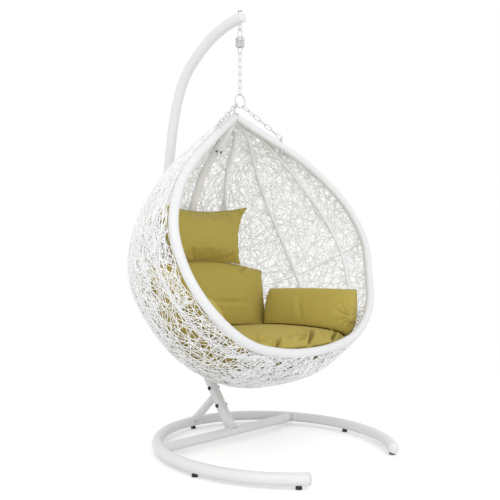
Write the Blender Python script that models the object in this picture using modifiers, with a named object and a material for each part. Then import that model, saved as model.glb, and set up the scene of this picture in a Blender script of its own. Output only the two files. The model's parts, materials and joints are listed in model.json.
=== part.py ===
"""Hanging chair: a woven, cushioned basket on chains and a spring, hung from a free-standing bent mast.

Metres, +Z up, +Y to the rear, the chair faces -Y. Every size below is written in the stand's own frame,
whose origin is on the floor under the foot of the post; SHIFT_Y moves the finished chair so that the
middle of its bounding box stands over the origin.
"""
import math

import bmesh
import bpy
import numpy as np
from mathutils import Matrix, Vector
from mathutils.bvhtree import BVHTree

for old in list(bpy.data.objects):
    bpy.data.objects.remove(old, do_unlink=True)

SHIFT_Y = 0.0845
GAP = 0.0003            # clearance left at welded, coped and pressed joints

# stand
FOOT_H, FOOT_R, STEM_R = 0.012, 0.012, 0.004
RING_R, RING_WALL = 0.0225, 0.002
RING_Z = FOOT_H + RING_R
RING_RX, RING_RY, RING_CY = 0.464, 0.518, -0.246
RING_OPEN = 144.4       # the ring stops this many degrees either side of its rear
BAR_R = 0.020
POST_R, POST_WALL = 0.025, 0.0025
POST_LEAN = math.atan2(0.127, 0.1765)
POST_LEN, INSERT_START = 0.255, 0.100
CLAMP_AT = (0.130, 0.220)           # clamp bolts, measured up the post
BRACE_R = 0.0185
MAST_R, INSERT_R = 0.025, 0.0220
MAST = [(0.225, 0.366), (0.300, 0.500), (0.367, 0.625), (0.420, 0.750), (0.463, 0.880), (0.487, 1.010),
        (0.490, 1.140), (0.4735, 1.268), (0.4565, 1.372), (0.441, 1.465), (0.416, 1.567), (0.381, 1.657),
        (0.352, 1.708), (0.311, 1.757), (0.256, 1.801), (0.193, 1.842), (0.122, 1.876), (0.035, 1.901),
        (-0.060, 1.912)]

# hanger, all on the hanging axis
HANG_Y = -0.047
MAST_END_Z = float(np.interp(HANG_Y, *zip(*sorted(MAST)[:2])))      # mast centre line above that axis
EYE_DROP, EYE_HALF_W, EYE_HALF_H, EYE_R = 0.044, 0.0095, 0.0135, 0.003
EYE_Z = MAST_END_Z - EYE_DROP
THREAD_R, THREAD_OUT = 0.0039, 0.0407        # the eye bolt's shank and how far it stands above the centre line
BAR_WIRE, LEG = 0.0025, 0.012        # drawbar wire radius and half width
COIL_DROP, COIL_TALL, COIL_R, COIL_WIRE = 0.0355, 0.0395, 0.0189, 0.0022
COIL_HIGH = EYE_Z - EYE_HALF_H - COIL_DROP       # the coil hangs this far below the eye's lowest wire
COIL_LOW = COIL_HIGH - COIL_TALL
COIL_TURNS, COIL_FLAT = 4.7, 0.55    # climbing turns, and the level part turn at each end
LINK_R, LINK_HALF_W = 0.002, 0.008
LINK_FLAT, SLOPE_FLAT = 0.78, 0.92   # share of its thickness a faceted link has at its bend, upright and sloping
CLEAR = 0.00035                      # between wires that hang in each other
NEST = LINK_R * LINK_FLAT + CLEAR    # from a link's wire centre to the wire it hangs on
RING_LOW_Z, SUSP_R, SUSP_WIRE = 1.5276, 0.031, 0.003
MAIN_PITCH, MAIN_LINKS, SIDE_LINKS, REAR_LINKS = 0.0322, 6, 7, 5

# basket frame: stations from the apex down to the front edge, evenly spaced along the curve
RIM = [(0, -0.017, 1.459), (0.133, -0.083, 1.379), (0.271, -0.155, 1.291), (0.407, -0.210, 1.189),
       (0.524, -0.260, 1.064), (0.588, -0.310, 0.907), (0.560, -0.356, 0.738), (0.477, -0.413, 0.591),
       (0.339, -0.444, 0.485), (0.170, -0.455, 0.441), (0, -0.460, 0.430)]
KEEL = [(-0.017, 1.459), (0.061, 1.369), (0.202, 1.222), (0.284, 1.040), (0.297, 0.8385),
        (0.2465, 0.647), (0.129, 0.482), (-0.015, 0.345), (-0.197, 0.284), (-0.389, 0.340), (-0.460, 0.430)]
SQUARENESS = 2.65                    # of the basket's level sections; 2 would be an ellipse
RIM_R, KEEL_R, RIB_R, HOOP_R, COLLAR_R = 0.0185, 0.0175, 0.009, 0.003, 0.008
RIB_ANGLES = (8.4, 34.7, 67.5)       # 0 at the rim, 90 at the keel
COLLAR_T = (0.058, 0.942)
HOOP_T = 0.5
HOOP_OUT, SHELL_OUT, SHELL_THICK = 0.0115, 0.0150, 0.0035
T_GRID = [0, 0.018] + [float(v) for v in np.linspace(0.036, 0.964, 21)] + [0.982, 1]
S_STEPS = 12
OPEN_SHARE = 0.78        # of a cell's width and height that its opening in the weave takes

# U-bolts: x, y of the eye, height of its top wire, half width, plan direction across the tube
U_WIRE = 0.003
U_SIDE = (0.200, -0.1195, 1.3765, 0.0105)
U_REAR = (0.0, 0.094, 1.421, 0.0135)

WHITE = (0.86, 0.86, 0.86, 1)
STEEL = (0.62, 0.63, 0.64, 1)
BLACK = (0.03, 0.03, 0.03, 1)
OLIVE = (0.46, 0.37, 0.10, 1)

chair = bpy.data.collections.new("hanging_chair")
cutters = bpy.data.collections.new("cutters")
for group in (chair, cutters):
    bpy.context.scene.collection.children.link(group)


def at(x, y, z):
    return Vector((x, y + SHIFT_Y, z))


def material(name, colour, rough, metal=0.0):
    mat = bpy.data.materials.new(name)
    mat.use_nodes = True
    shader = mat.node_tree.nodes["Principled BSDF"]
    shader.inputs["Base Color"].default_value = colour
    shader.inputs["Roughness"].default_value = rough
    shader.inputs["Metallic"].default_value = metal
    return mat


def pivot(name, where, parent=None):
    """An empty on a joint's axis; the pieces that move about it are its children."""
    empty = bpy.data.objects.new(name, None)
    chair.objects.link(empty)
    empty.location = where - (parent.matrix_world.translation if parent else Vector())
    empty.parent = parent
    bpy.context.view_layer.update()
    return empty


def piece(name, data, body, colour, rough=0.45, metal=0.0):
    obj = bpy.data.objects.new(name, data)
    chair.objects.link(obj)
    data.materials.append(material(name, colour, rough, metal))
    obj.parent = body
    obj.matrix_parent_inverse = body.matrix_world.inverted()
    return obj


def cutter(name, data):
    obj = bpy.data.objects.new(name, data)
    cutters.objects.link(obj)
    obj.hide_render = True
    obj.display_type = "WIRE"
    return obj


def boolean(obj, other, operation="DIFFERENCE"):
    mod = obj.modifiers.new(other.name, "BOOLEAN")
    mod.operation = operation
    mod.solver = "EXACT"
    mod.object = other
    return mod


def smooth(mesh):
    for face in mesh.polygons:
        face.use_smooth = True
    return mesh


def catmull(stations, at_t, first=None, last=None):
    """A smooth curve through evenly spaced stations, read at a position from 0 to 1."""
    pts = [np.array(p, float) for p in stations]
    pts = [2 * pts[0] - pts[1] if first is None else np.array(first, float)] + pts
    pts.append(2 * pts[-1] - pts[-2] if last is None else np.array(last, float))
    pos = min(max(at_t, 0.0), 1.0) * (len(stations) - 1)
    i = min(int(pos), len(stations) - 2)
    f = pos - i
    a, b, c, d = pts[i:i + 4]
    return 0.5 * (2 * b + (c - a) * f + (2 * a - 5 * b + 4 * c - d) * f * f
                  + (3 * b - 3 * c + d - a) * f ** 3)


def curve(name, points, radius, sides=8, closed=False, caps=True, scales=None):
    """A round wire or tube along the points."""
    data = bpy.data.curves.new(name, "CURVE")
    data.dimensions = "3D"
    data.bevel_depth = radius
    data.bevel_resolution = sides // 2 - 2
    data.use_fill_caps = caps and not closed
    line = data.splines.new("POLY")
    line.points.add(len(points) - 1)
    for i, p in enumerate(points):
        line.points[i].co = (p[0], p[1], p[2], 1)
        if scales:
            line.points[i].radius = scales[i]
    line.use_cyclic_u = closed
    line.use_smooth = True
    return data


def baked(name, data, wall=0.0):
    """The curve as a closed mesh; with a wall it is a hollow tube."""
    obj = bpy.data.objects.new(name + "_curve", data)
    bpy.context.scene.collection.objects.link(obj)
    if wall:
        shell = obj.modifiers.new("wall", "SOLIDIFY")
        shell.thickness = wall
        shell.offset = -1
    bpy.context.view_layer.update()
    graph = bpy.context.evaluated_depsgraph_get()
    mesh = bpy.data.meshes.new_from_object(obj.evaluated_get(graph), depsgraph=graph)
    mesh.name = name
    bpy.data.objects.remove(obj, do_unlink=True)
    bm = bmesh.new()
    bm.from_mesh(mesh)
    bmesh.ops.remove_doubles(bm, verts=bm.verts, dist=1e-6)
    bmesh.ops.recalc_face_normals(bm, faces=bm.faces)
    bm.to_mesh(mesh)
    bm.free()
    return smooth(mesh)


def around(radius, sides):
    """Radius of a coping solid that clears a tube of this radius wherever its flat sides fall."""
    return (radius + GAP) / math.cos(math.pi / sides)


def rod(name, start, end, radius, sides=16, extra=()):
    """A mesh of straight round rods, each (start, end, radius)."""
    bm = bmesh.new()
    for a, b, r in ((start, end, radius),) + tuple(extra):
        a, b = Vector(a), Vector(b)
        turn = (b - a).to_track_quat("Z", "Y").to_matrix().to_4x4()
        place = Matrix.Translation((a + b) / 2) @ turn
        bmesh.ops.create_cone(bm, cap_ends=True, segments=sides, radius1=r, radius2=r,
                              depth=(b - a).length, matrix=place)
    mesh = bpy.data.meshes.new(name)
    bm.to_mesh(mesh)
    bm.free()
    return smooth(mesh)


def turned(name, profile, steps, place, body, colour, **look):
    """A turned piece: (radius, height) from the top of its axis down the outside to the bottom."""
    mesh = bpy.data.meshes.new(name)
    mesh.from_pydata([(r, 0, z) for r, z in profile], [(i, i + 1) for i in range(len(profile) - 1)], [])
    obj = piece(name, mesh, body, colour, **look)
    obj.matrix_world = place
    mod = obj.modifiers.new("turn", "SCREW")
    mod.steps = mod.render_steps = steps
    mod.use_merge_vertices = True
    mod.merge_threshold = 1e-5
    mod.use_smooth_shade = True
    return obj


def turned_mesh(name, profile, steps, place):
    """The same turned piece as a plain mesh, for joining to another."""
    bm = bmesh.new()
    rings = []
    for r, z in profile:
        count = 1 if r < 1e-9 else steps
        rings.append([bm.verts.new(place @ Vector((r * math.cos(2 * math.pi * k / steps),
                                                   r * math.sin(2 * math.pi * k / steps), z)))
                      for k in range(count)])
    for upper, lower in zip(rings, rings[1:]):
        for k in range(steps):
            ring = [upper[k % len(upper)], lower[k % len(lower)],
                    lower[(k + 1) % len(lower)], upper[(k + 1) % len(upper)]]
            ring = [v for i, v in enumerate(ring) if v not in ring[:i]]
            bm.faces.new(ring)
    mesh = bpy.data.meshes.new(name)
    bm.to_mesh(mesh)
    bm.free()
    return smooth(mesh)


# joint axes

stand = pivot("stand", Vector((0, 0, 0)))
hook_z = EYE_Z - EYE_HALF_H + EYE_R + BAR_WIRE + CLEAR
side_swing = pivot("side_swing", at(0, HANG_Y, EYE_Z - EYE_HALF_H), stand)
bounce = pivot("bounce", at(0, HANG_Y, COIL_HIGH), side_swing)
MAIN_HALF = (MAIN_PITCH + LINK_R * LINK_FLAT + NEST) / 2
last_link_z = RING_LOW_Z + SUSP_R - SUSP_WIRE - NEST + MAIN_HALF
first_link_z = last_link_z + (MAIN_LINKS - 1) * MAIN_PITCH
fore_swing = pivot("fore_swing", at(0, HANG_Y, first_link_z - MAIN_HALF), bounce)
swivel = pivot("swivel", at(0, HANG_Y, RING_LOW_Z + SUSP_R), fore_swing)

# base ring


def ring_point(degrees, z=RING_Z):
    a = math.radians(degrees)
    return at(RING_RX * math.sin(a), RING_CY + RING_RY * math.cos(a), z)


def up_post(distance, x=0.0):
    return at(x, distance * math.sin(POST_LEAN), RING_Z + distance * math.cos(POST_LEAN))


ring_path = [ring_point(a) for a in np.linspace(-RING_OPEN, RING_OPEN, 33)]
FEET = {"foot_rear": 0, "foot_left": -94, "foot_right": 94, "foot_front_left": -140, "foot_front_right": 140}
base_ring = piece("base_ring", baked("base_ring", curve("base_ring", ring_path, RING_R, 10, caps=False),
                                     RING_WALL), stand, WHITE)
stems = [(ring_point(a, FOOT_H - 0.004), ring_point(a, FOOT_H + 0.006), STEM_R + 3 * GAP) for a in FEET.values()]
boolean(base_ring, cutter("cut_stems", rod("cut_stems", *stems[0], sides=8, extra=stems[1:])))

for name, angle in FEET.items():
    pad = [(0, FOOT_H + 0.0045), (STEM_R, FOOT_H + 0.0045), (STEM_R, FOOT_H - GAP), (0.0095, FOOT_H - GAP),
           (FOOT_R, 0.006), (FOOT_R, 0.001), (FOOT_R - 0.001, 0), (0, 0)]
    turned(name, pad, 10, Matrix.Translation(ring_point(angle, 0)), stand, BLACK, rough=0.8)

for name, first, second in (("ring_cap_left", 0, 1), ("ring_cap_right", -1, -2)):
    tip, inner = ring_path[first], ring_path[second]
    plug = RING_R - RING_WALL - 0.0012
    dome = [(0, 0.0095), (0.009, 0.0085), (0.0165, 0.0055), (RING_R - 0.0005, 0.001), (RING_R - 0.0005, GAP),
            (plug, GAP), (plug - 0.0005, -0.018), (0, -0.018)]
    turn = (tip - inner).to_track_quat("Z", "Y").to_matrix().to_4x4()
    turned(name, dome, 14, Matrix.Translation(tip) @ turn, stand, WHITE, rough=0.5)

# solid copies of the tubes, a hair larger, that cope the tubes welded to them

cut_ring = cutter("cut_ring", baked("cut_ring", curve("cut_ring", ring_path, RING_R + GAP, 10)))
bar_x = RING_RX * math.sin(math.acos(-RING_CY / RING_RY))
bar_ends = (at(-bar_x, 0, RING_Z), at(bar_x, 0, RING_Z))
cut_bar = cutter("cut_bar", baked("cut_bar", curve("cut_bar", bar_ends, around(BAR_R, 16), 16)))
post_ends = (up_post(0), up_post(POST_LEN + 0.02))
cut_post = cutter("cut_post", baked("cut_post", curve("cut_post", post_ends, around(POST_R, 12), 12)))
clamp_rods = [(up_post(d, -0.04), up_post(d, 0.04), 0.0043) for d in CLAMP_AT]
cut_clamps = cutter("cut_clamps", rod("cut_clamps", *clamp_rods[0], sides=12, extra=clamp_rods[1:]))

# cross bar, post and brace

cross_bar = piece("cross_bar", baked("cross_bar", curve("cross_bar", bar_ends, BAR_R, 16, caps=False),
                                     0.002), stand, WHITE)
boolean(cross_bar, cut_ring)
post_path = [up_post(d) for d in (0.0, 0.06, 0.14, POST_LEN)]
post = piece("post", baked("post", curve("post", post_path, POST_R, 12, caps=False), POST_WALL),
             stand, WHITE)
boolean(post, cut_bar)
boolean(post, cut_clamps)
brace_ends = (at(0, RING_CY + RING_RY, RING_Z), at(0, 0.108, 0.1845))
rear_brace = piece("rear_brace", baked("rear_brace", curve("rear_brace", brace_ends, BRACE_R, 14,
                                                           caps=False), 0.002), stand, WHITE)
boolean(rear_brace, cut_ring)
boolean(rear_brace, cut_post)

# mast: its lower end is swaged down to slide into the post

lower = [up_post(d) for d in (INSERT_START, 0.18, POST_LEN + 0.0005)]
mast_path = lower + [up_post(POST_LEN + 0.006)] + [at(0, y, z) for y, z in MAST]
swage = [INSERT_R / MAST_R] * 3 + [1.0] * (len(mast_path) - 3)
mast = piece("mast", baked("mast", curve("mast", mast_path, MAST_R, 12, caps=False, scales=swage),
                           0.0022), stand, WHITE)
boolean(mast, cut_clamps)
eye_hole = cutter("cut_eye_hole", rod("cut_eye_hole", at(0, HANG_Y, MAST_END_Z - 2 * MAST_R),
                                       at(0, HANG_Y, MAST_END_Z + 2 * MAST_R), THREAD_R + 0.0004, 12))
boolean(mast, eye_hole)
tip, before = mast_path[-1], mast_path[-2]
end_cap = [(0, 0.006), (0.014, 0.0055), (0.022, 0.003), (0.0245, GAP), (MAST_R - 0.0040, GAP),
           (MAST_R - 0.0045, -0.006), (0, -0.006)]
turned("mast_end_cap", end_cap, 12,
       Matrix.Translation(tip) @ (tip - before).to_track_quat("Z", "Y").to_matrix().to_4x4(),
       stand, WHITE, rough=0.5)

for name, distance in zip(("clamp_bolt_lower", "clamp_bolt_upper"), CLAMP_AT):
    side = Matrix.Translation(up_post(distance)) @ Matrix.Rotation(math.radians(90), 4, "Y")
    bolt = [(0, 0.0375), (0.0045, 0.036), (0.0072, 0.033), (0.0075, 0.0255), (0.0039, 0.0255),
            (0.0039, -0.0255), (0.0075, -0.0255), (0.0075, -0.031), (0.005, -0.0335), (0, -0.034)]
    turned(name, bolt, 12, side, stand, BLACK, rough=0.35, metal=0.8)

# eye bolt through the mast's end, with a saddle nut on top

beyond = mast_path[-4:] + [tip + (tip - before).normalized() * 0.02]
cut_mast = cutter("cut_mast", baked("cut_mast", curve("cut_mast", beyond, around(MAST_R, 12), 12)))
eye_ring = [at(0, HANG_Y + EYE_HALF_W * math.cos(a), EYE_Z + EYE_HALF_H * math.sin(a))
            for a in np.linspace(0, 2 * math.pi, 17)[:-1]]
eye_bolt = piece("eye_bolt", baked("eye_bolt", curve("eye_bolt", eye_ring, EYE_R, 8, closed=True)),
                 stand, WHITE)
eye_top = EYE_Z + EYE_HALF_H
shank_len = MAST_END_Z + THREAD_OUT - eye_top
shank = [(0, shank_len), (THREAD_R - 0.0009, shank_len), (THREAD_R, shank_len - 0.001), (THREAD_R, 0), (0, 0)]
shank = turned_mesh("eye_shank", shank, 12, Matrix.Translation(at(0, HANG_Y, eye_top)))
boolean(eye_bolt, cutter("join_shank", shank), "UNION")
bore = THREAD_R + 0.0010
nut = [(bore, 0.0395), (0.0075, 0.0395), (0.0085, 0.0385), (0.0085, 0.031), (0.011, 0.031), (0.011, 0.022),
       (bore, 0.022), (bore, 0.0395)]
eye_nut = turned("eye_nut", nut, 12, Matrix.Translation(at(0, HANG_Y, MAST_END_Z)), stand, STEEL,
                 rough=0.35, metal=0.8)
boolean(eye_nut, cut_mast)

# spring hanger: two wire drawbars cross inside the coil, so that a load squeezes it


def drawbar(name, body, across, bend_z, tip_z, sign, colour=WHITE):
    """A U of wire: its bend at bend_z, its two feet turned outwards under or over the coil at tip_z."""
    pts = [(0.0188, tip_z), (LEG + 0.0025, tip_z), (LEG, tip_z + sign * 0.0025)]
    pts += [(LEG * math.cos(a), bend_z - sign * LEG + sign * LEG * math.sin(a))
            for a in np.linspace(0, math.pi / 2, 5)[:-1]]
    pts += [(0, bend_z)]
    pts = pts + [(-u, z) for u, z in reversed(pts[:-1])]
    path = [at(u, HANG_Y, z) if across == "X" else at(0, HANG_Y + u, z) for u, z in pts]
    return piece(name, curve(name, path, BAR_WIRE, 8), body, colour)


upper_bend = EYE_Z - EYE_HALF_H + EYE_R + BAR_WIRE + CLEAR
drawbar("upper_drawbar", side_swing, "X", upper_bend, COIL_LOW - BAR_WIRE - GAP, 1)
coil_path = []
coil_rise = COIL_HIGH - COIL_LOW - 2 * COIL_WIRE
for turns in np.linspace(0, COIL_TURNS + 2 * COIL_FLAT, 54):
    a = 2 * math.pi * (turns - COIL_FLAT / 2 + 0.25)
    climb = min(max((turns - COIL_FLAT) / COIL_TURNS, 0), 1)
    coil_path.append(at(COIL_R * math.cos(a), HANG_Y + COIL_R * math.sin(a),
                        COIL_LOW + COIL_WIRE + coil_rise * climb))
piece("coil_spring", curve("coil_spring", coil_path, COIL_WIRE, 6), side_swing, WHITE)
turn_gap = coil_rise / COIL_TURNS - 2 * COIL_WIRE
print("coil gap between turns mm", round(turn_gap * 1000, 2))
lower_bend = first_link_z + MAIN_HALF - NEST - BAR_WIRE
drawbar("lower_drawbar", bounce, "Y", lower_bend, COIL_HIGH + BAR_WIRE + GAP, -1)

# chains


LINK_BEND = ((0.0055, LINK_HALF_W), (0, 0.0035), (0, -0.0035), (0.0055, -LINK_HALF_W))


def link(name, centre, along, normal, half_len, body):
    """One stadium-shaped chain link lying in the plane across `normal`."""
    wide = normal.cross(along).normalized()
    pts = []
    for end in (1, -1):
        for out, sideways in LINK_BEND:
            pts.append(centre + end * (along * (half_len - out) + wide * sideways))
    return piece(name, curve(name, pts, LINK_R, 6, closed=True), body, WHITE, 0.35, 0.4)


def chain(name, start, end, count, hook_start, hook_end, first_normal, last_normal, body):
    """Links from the wire centre at `start` to the one at `end`, turned a quarter each and a little more."""
    line = end - start
    along = line.normalized()
    total = line.length + hook_start + hook_end
    nested = 2 * LINK_R * SLOPE_FLAT + CLEAR
    pitch = (total - nested) / count
    half = (pitch + nested) / 2
    flat = [(n - n.dot(along) * along).normalized() for n in (first_normal, last_normal)]
    turn = math.degrees(math.atan2(along.dot(flat[0].cross(flat[1])), flat[0].dot(flat[1])))
    turn = turn - 90 * (count - 1)
    turn = (turn + 90) % 180 - 90
    quarter = 90 + turn / (count - 1)
    print(name, "pitch mm", round(pitch * 1000, 2), "turn per link", round(quarter, 1))
    for k in range(count):
        centre = start - along * hook_start + along * (half + k * pitch)
        normal = Matrix.Rotation(math.radians(quarter * k), 3, along) @ flat[0]
        link(f"{name}_{k + 1}", centre, along, normal, half, body)


for k in range(MAIN_LINKS):
    normal = Vector((0, 1, 0)) if k % 2 == 0 else Vector((1, 0, 0))
    body = bounce if k == 0 else fore_swing
    link(f"chain_link_{k + 1}", at(0, HANG_Y, first_link_z - k * MAIN_PITCH), Vector((0, 0, -1)),
         normal, MAIN_HALF, body)


def on_suspension_ring(degrees):
    a = math.radians(degrees)
    point = at(SUSP_R * math.sin(a), HANG_Y, RING_LOW_Z - SUSP_R * math.cos(a))
    return point, Vector((math.cos(a), 0, math.sin(a)))


susp = [on_suspension_ring(a)[0] for a in np.linspace(0, 360, 21)[:-1]]
piece("suspension_ring", curve("suspension_ring", susp, SUSP_WIRE, 8, closed=True), swivel, WHITE)


def rim_at(t, side=1):
    p = catmull(RIM, t, last=(-RIM[-2][0], RIM[-2][1], RIM[-2][2]))
    return np.array([p[0] * side, p[1], p[2]])


def keel_at(t):
    y, z = catmull(KEEL, t)
    return np.array([0.0, y, z])


def nearest_t(curve_at, axis, value, low, high):
    """The position on a curve whose coordinate along an axis has the value."""
    for _ in range(40):
        mid = (low + high) / 2
        if (curve_at(low)[axis] - value) * (curve_at(mid)[axis] - value) <= 0:
            high = mid
        else:
            low = mid
    return (low + high) / 2


hook = SUSP_WIRE + NEST + 0.0006      # the bends of ring and bolt take a little more
u_specs = {"left": (-1,) + U_SIDE, "right": (1,) + U_SIDE, "rear": (1,) + U_REAR}
u_cut_rods, u_info = [], {}
for name, (sign, x, y, top, half) in u_specs.items():
    if name == "rear":
        tube, across, tube_r = keel_at(nearest_t(keel_at, 1, y, 0.05, 0.3)), Vector((1, 0, 0)), KEEL_R
    else:
        t = nearest_t(rim_at, 0, x, 0.05, 0.3)
        tube = rim_at(t, sign)
        step = rim_at(t + 0.01, sign) - rim_at(t - 0.01, sign)
        across, tube_r = Vector((-step[1], step[0], 0)).normalized(), RIM_R
    centre = at(*tube)
    u_info[name] = (centre, across, half, tube_r, top)
    for end in (1, -1):
        foot = centre + across * half * end
        u_cut_rods.append((foot - Vector((0, 0, 0.05)), foot + Vector((0, 0, 0.05)), U_WIRE + GAP))

for name, hooks in (("left", -51), ("right", 45), ("rear", -36)):
    centre, across, half, tube_r, top = u_info[name]
    start, tangent = on_suspension_ring(hooks)
    end = Vector((centre.x, centre.y, top))
    count = REAR_LINKS if name == "rear" else SIDE_LINKS
    chain(f"{name}_chain", start, end, count, hook, hook, tangent, across, swivel)

# basket surface


def half_section(t, count=240):
    """The right half of the basket's section at t, from the rim to the keel, with its arc length."""
    u = np.linspace(0, 1, count)
    phi = math.pi / 2 * (3 * u ** 2 - 2 * u ** 3)
    power = 2 / SQUARENESS
    rim, keel = rim_at(t), keel_at(t)
    c, s = np.cos(phi).clip(0) ** power, np.sin(phi).clip(0) ** power
    pts = np.stack([rim[0] * c, rim[1] + (keel[1] - rim[1]) * s, rim[2] + (keel[2] - rim[2]) * s], 1)
    arc = np.concatenate([[0], np.cumsum(np.linalg.norm(np.diff(pts, axis=0), axis=1))])
    return pts, arc


def along_section(t, distance=None, share=None, from_keel=None):
    pts, arc = half_section(t)
    if share is not None:
        distance = share * arc[-1]
    if from_keel is not None:
        distance = arc[-1] - from_keel
    return np.array([np.interp(distance, arc, pts[:, k]) for k in range(3)])


def wall(t, share, out):
    """A point on the basket's wall, `out` metres outside the ribs' centre surface."""
    dt = 0.012
    here = along_section(t, share=share)
    down = along_section(min(t + dt, 1), share=share) - along_section(max(t - dt, 0), share=share)
    back = (along_section(t, share=min(share + 0.03, 1)) - along_section(t, share=max(share - 0.03, 0)))
    if share > 0.985:
        back = np.array([-1.0, 0, 0])
    normal = np.cross(down, back)
    return here + out * normal / np.linalg.norm(normal)


def rib_point(t, angle):
    """A rib keeps its angle, but stays clear of the rim where the basket narrows."""
    pts, arc = half_section(t)
    power = 2 / SQUARENESS
    a = math.radians(angle)
    rim, keel = rim_at(t), keel_at(t)
    c, s = math.cos(a) ** power, math.sin(a) ** power
    p = np.array([rim[0] * c, rim[1] + (keel[1] - rim[1]) * s, rim[2] + (keel[2] - rim[2]) * s])
    nearest = arc[np.linalg.norm(pts - p, axis=1).argmin()]
    need = RIM_R + RIB_R + 0.0015
    return along_section(t, distance=need) if nearest < need else p


EDGE_RIM = math.sqrt((RIM_R + 0.0012) ** 2 - SHELL_OUT ** 2) + 0.0004
EDGE_KEEL = math.sqrt((KEEL_R + 0.0012) ** 2 - SHELL_OUT ** 2) + 0.0004


def shell_shares(t):
    """Stations across a section from rim to keel, closer together where it turns."""
    length = half_section(t)[1][-1]
    u = np.linspace(0, 1, S_STEPS + 1)
    warped = u + 0.06 * np.sin(2 * math.pi * u)
    low, high = EDGE_RIM / length, 1 - EDGE_KEEL / length
    return low + (high - low) * warped


# front rim, keel and their coping solids

rim_path = [at(*rim_at(t)) for t in T_GRID] + [at(*rim_at(t, -1)) for t in T_GRID[-2:0:-1]]
front_rim = piece("front_rim", baked("front_rim", curve("front_rim", rim_path, RIM_R, 12, closed=True)),
                  swivel, WHITE, 0.6)
cut_rim = cutter("cut_rim", baked("cut_rim", curve("cut_rim", rim_path, RIM_R + 2 * GAP, 12, closed=True)))
keel_path = [at(*keel_at(t)) for t in T_GRID]
keel = piece("keel", baked("keel", curve("keel", keel_path, KEEL_R, 10)), swivel, WHITE, 0.6)
cut_keel = cutter("cut_keel", baked("cut_keel", curve("cut_keel", keel_path, KEEL_R + GAP, 10)))
boolean(keel, cut_rim)
cut_u = cutter("cut_u_legs", rod("cut_u_legs", *u_cut_rods[0], sides=10, extra=u_cut_rods[1:]))
boolean(front_rim, cut_u)
boolean(keel, cut_u)

# U-bolts, each with its saddle plate and two nuts under the tube

for name, (centre, across, half, tube_r, top) in u_info.items():
    tube_cut = cut_keel if name == "rear" else cut_rim
    low = centre.z - tube_r - (0.019 if name == "rear" else 0.016)
    up = Vector((0, 0, 1))
    pts = [centre + across * half + up * (low - centre.z)]
    bend = top - half - centre.z
    pts += [centre + across * half * math.cos(a) + up * (bend + half * math.sin(a))
            for a in np.linspace(0, math.pi, 9)]
    pts += [centre - across * half + up * (low - centre.z)]
    u_bolt = piece(f"u_bolt_{name}", baked(f"u_bolt_{name}", curve(f"u_bolt_{name}", pts, U_WIRE, 8)),
                   swivel, BLACK if name == "rear" else WHITE, 0.4, 0.5)
    frame = Matrix((across, up.cross(across), up)).transposed().to_4x4()
    place = Matrix.Translation(Vector((centre.x, centre.y, low + 0.012))) @ frame
    bm = bmesh.new()
    bmesh.ops.create_cube(bm, size=1, matrix=place @ Matrix.Diagonal((2 * half + 0.013, 0.013, 0.016, 1)))
    block = bpy.data.meshes.new(f"saddle_{name}")
    bm.to_mesh(block)
    bm.free()
    saddle = cutter(f"saddle_{name}", block)
    boolean(saddle, tube_cut)
    boolean(u_bolt, saddle, "UNION")

# ribs, welded at both ends to a small collar and crossed outside by the waist hoop

for side, sign in (("left", -1), ("right", 1)):
    flip = lambda p: at(p[0] * sign, p[1], p[2])
    rib_t = [t for t in T_GRID if COLLAR_T[0] < t < COLLAR_T[1]]
    rib_t = [COLLAR_T[0]] + rib_t + [COLLAR_T[1]]
    parts = []
    for angle in RIB_ANGLES:
        path = [flip(rib_point(t, angle)) for t in rib_t]
        parts.append(baked("rib", curve("rib", path, RIB_R, 6)))
    for t in COLLAR_T:
        path = [flip(along_section(t, share=s)) for s in np.linspace(0, 1, 9)]
        parts.append(baked("collar", curve("collar", path, COLLAR_R, 8)))
    path = [flip(wall(HOOP_T, s, HOOP_OUT)) for s in [0.0] + list(shell_shares(HOOP_T)) + [1.0]]
    parts.append(baked("hoop", curve("hoop", path, HOOP_R, 6)))
    fan = piece(f"rib_fan_{side}", parts[0], swivel, WHITE, 0.6)
    for i, part in enumerate(parts[1:]):
        boolean(fan, cutter(f"join_{side}_{i}", part), "UNION")
    boolean(fan, cut_rim)
    boolean(fan, cut_keel)

# woven wall: one thin shell each side of the keel, with its edges tucked behind the rim and the keel, and with
# the gaps among its strands shown as one opening in every second cell

shell_t = T_GRID[2:-1]
for side, sign in (("left", -1), ("right", 1)):
    verts, faces = [], []
    for t in shell_t:
        for share in shell_shares(t):
            p = wall(t, share, SHELL_OUT)
            verts.append(at(p[0] * sign, p[1], p[2]))
    row = S_STEPS + 1
    for i in range(len(shell_t) - 1):
        for k in range(S_STEPS):
            quad = [i * row + k, (i + 1) * row + k, (i + 1) * row + k + 1, i * row + k + 1][::sign]
            if i == 0 or (i + k) % 2:
                faces.append(quad)
                continue
            corners = [verts[n] for n in quad]
            middle = sum(corners, Vector()) / 4
            inner = [len(verts) + n for n in range(4)]
            verts += [middle + (p - middle) * OPEN_SHARE for p in corners]
            faces += [[quad[n], quad[(n + 1) % 4], inner[(n + 1) % 4], inner[n]] for n in range(4)]
    mesh = bpy.data.meshes.new(f"weave_{side}")
    mesh.from_pydata(verts, [], faces)
    weave = piece(f"weave_{side}", smooth(mesh), swivel, WHITE, 0.6)
    thick = weave.modifiers.new("thickness", "SOLIDIFY")
    thick.thickness = SHELL_THICK
    thick.offset = 1
    thick.use_quality_normals = True
    boolean(weave, cut_u)

# cushions: crowned pillows pressed against the basket's frame and against each other

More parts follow.
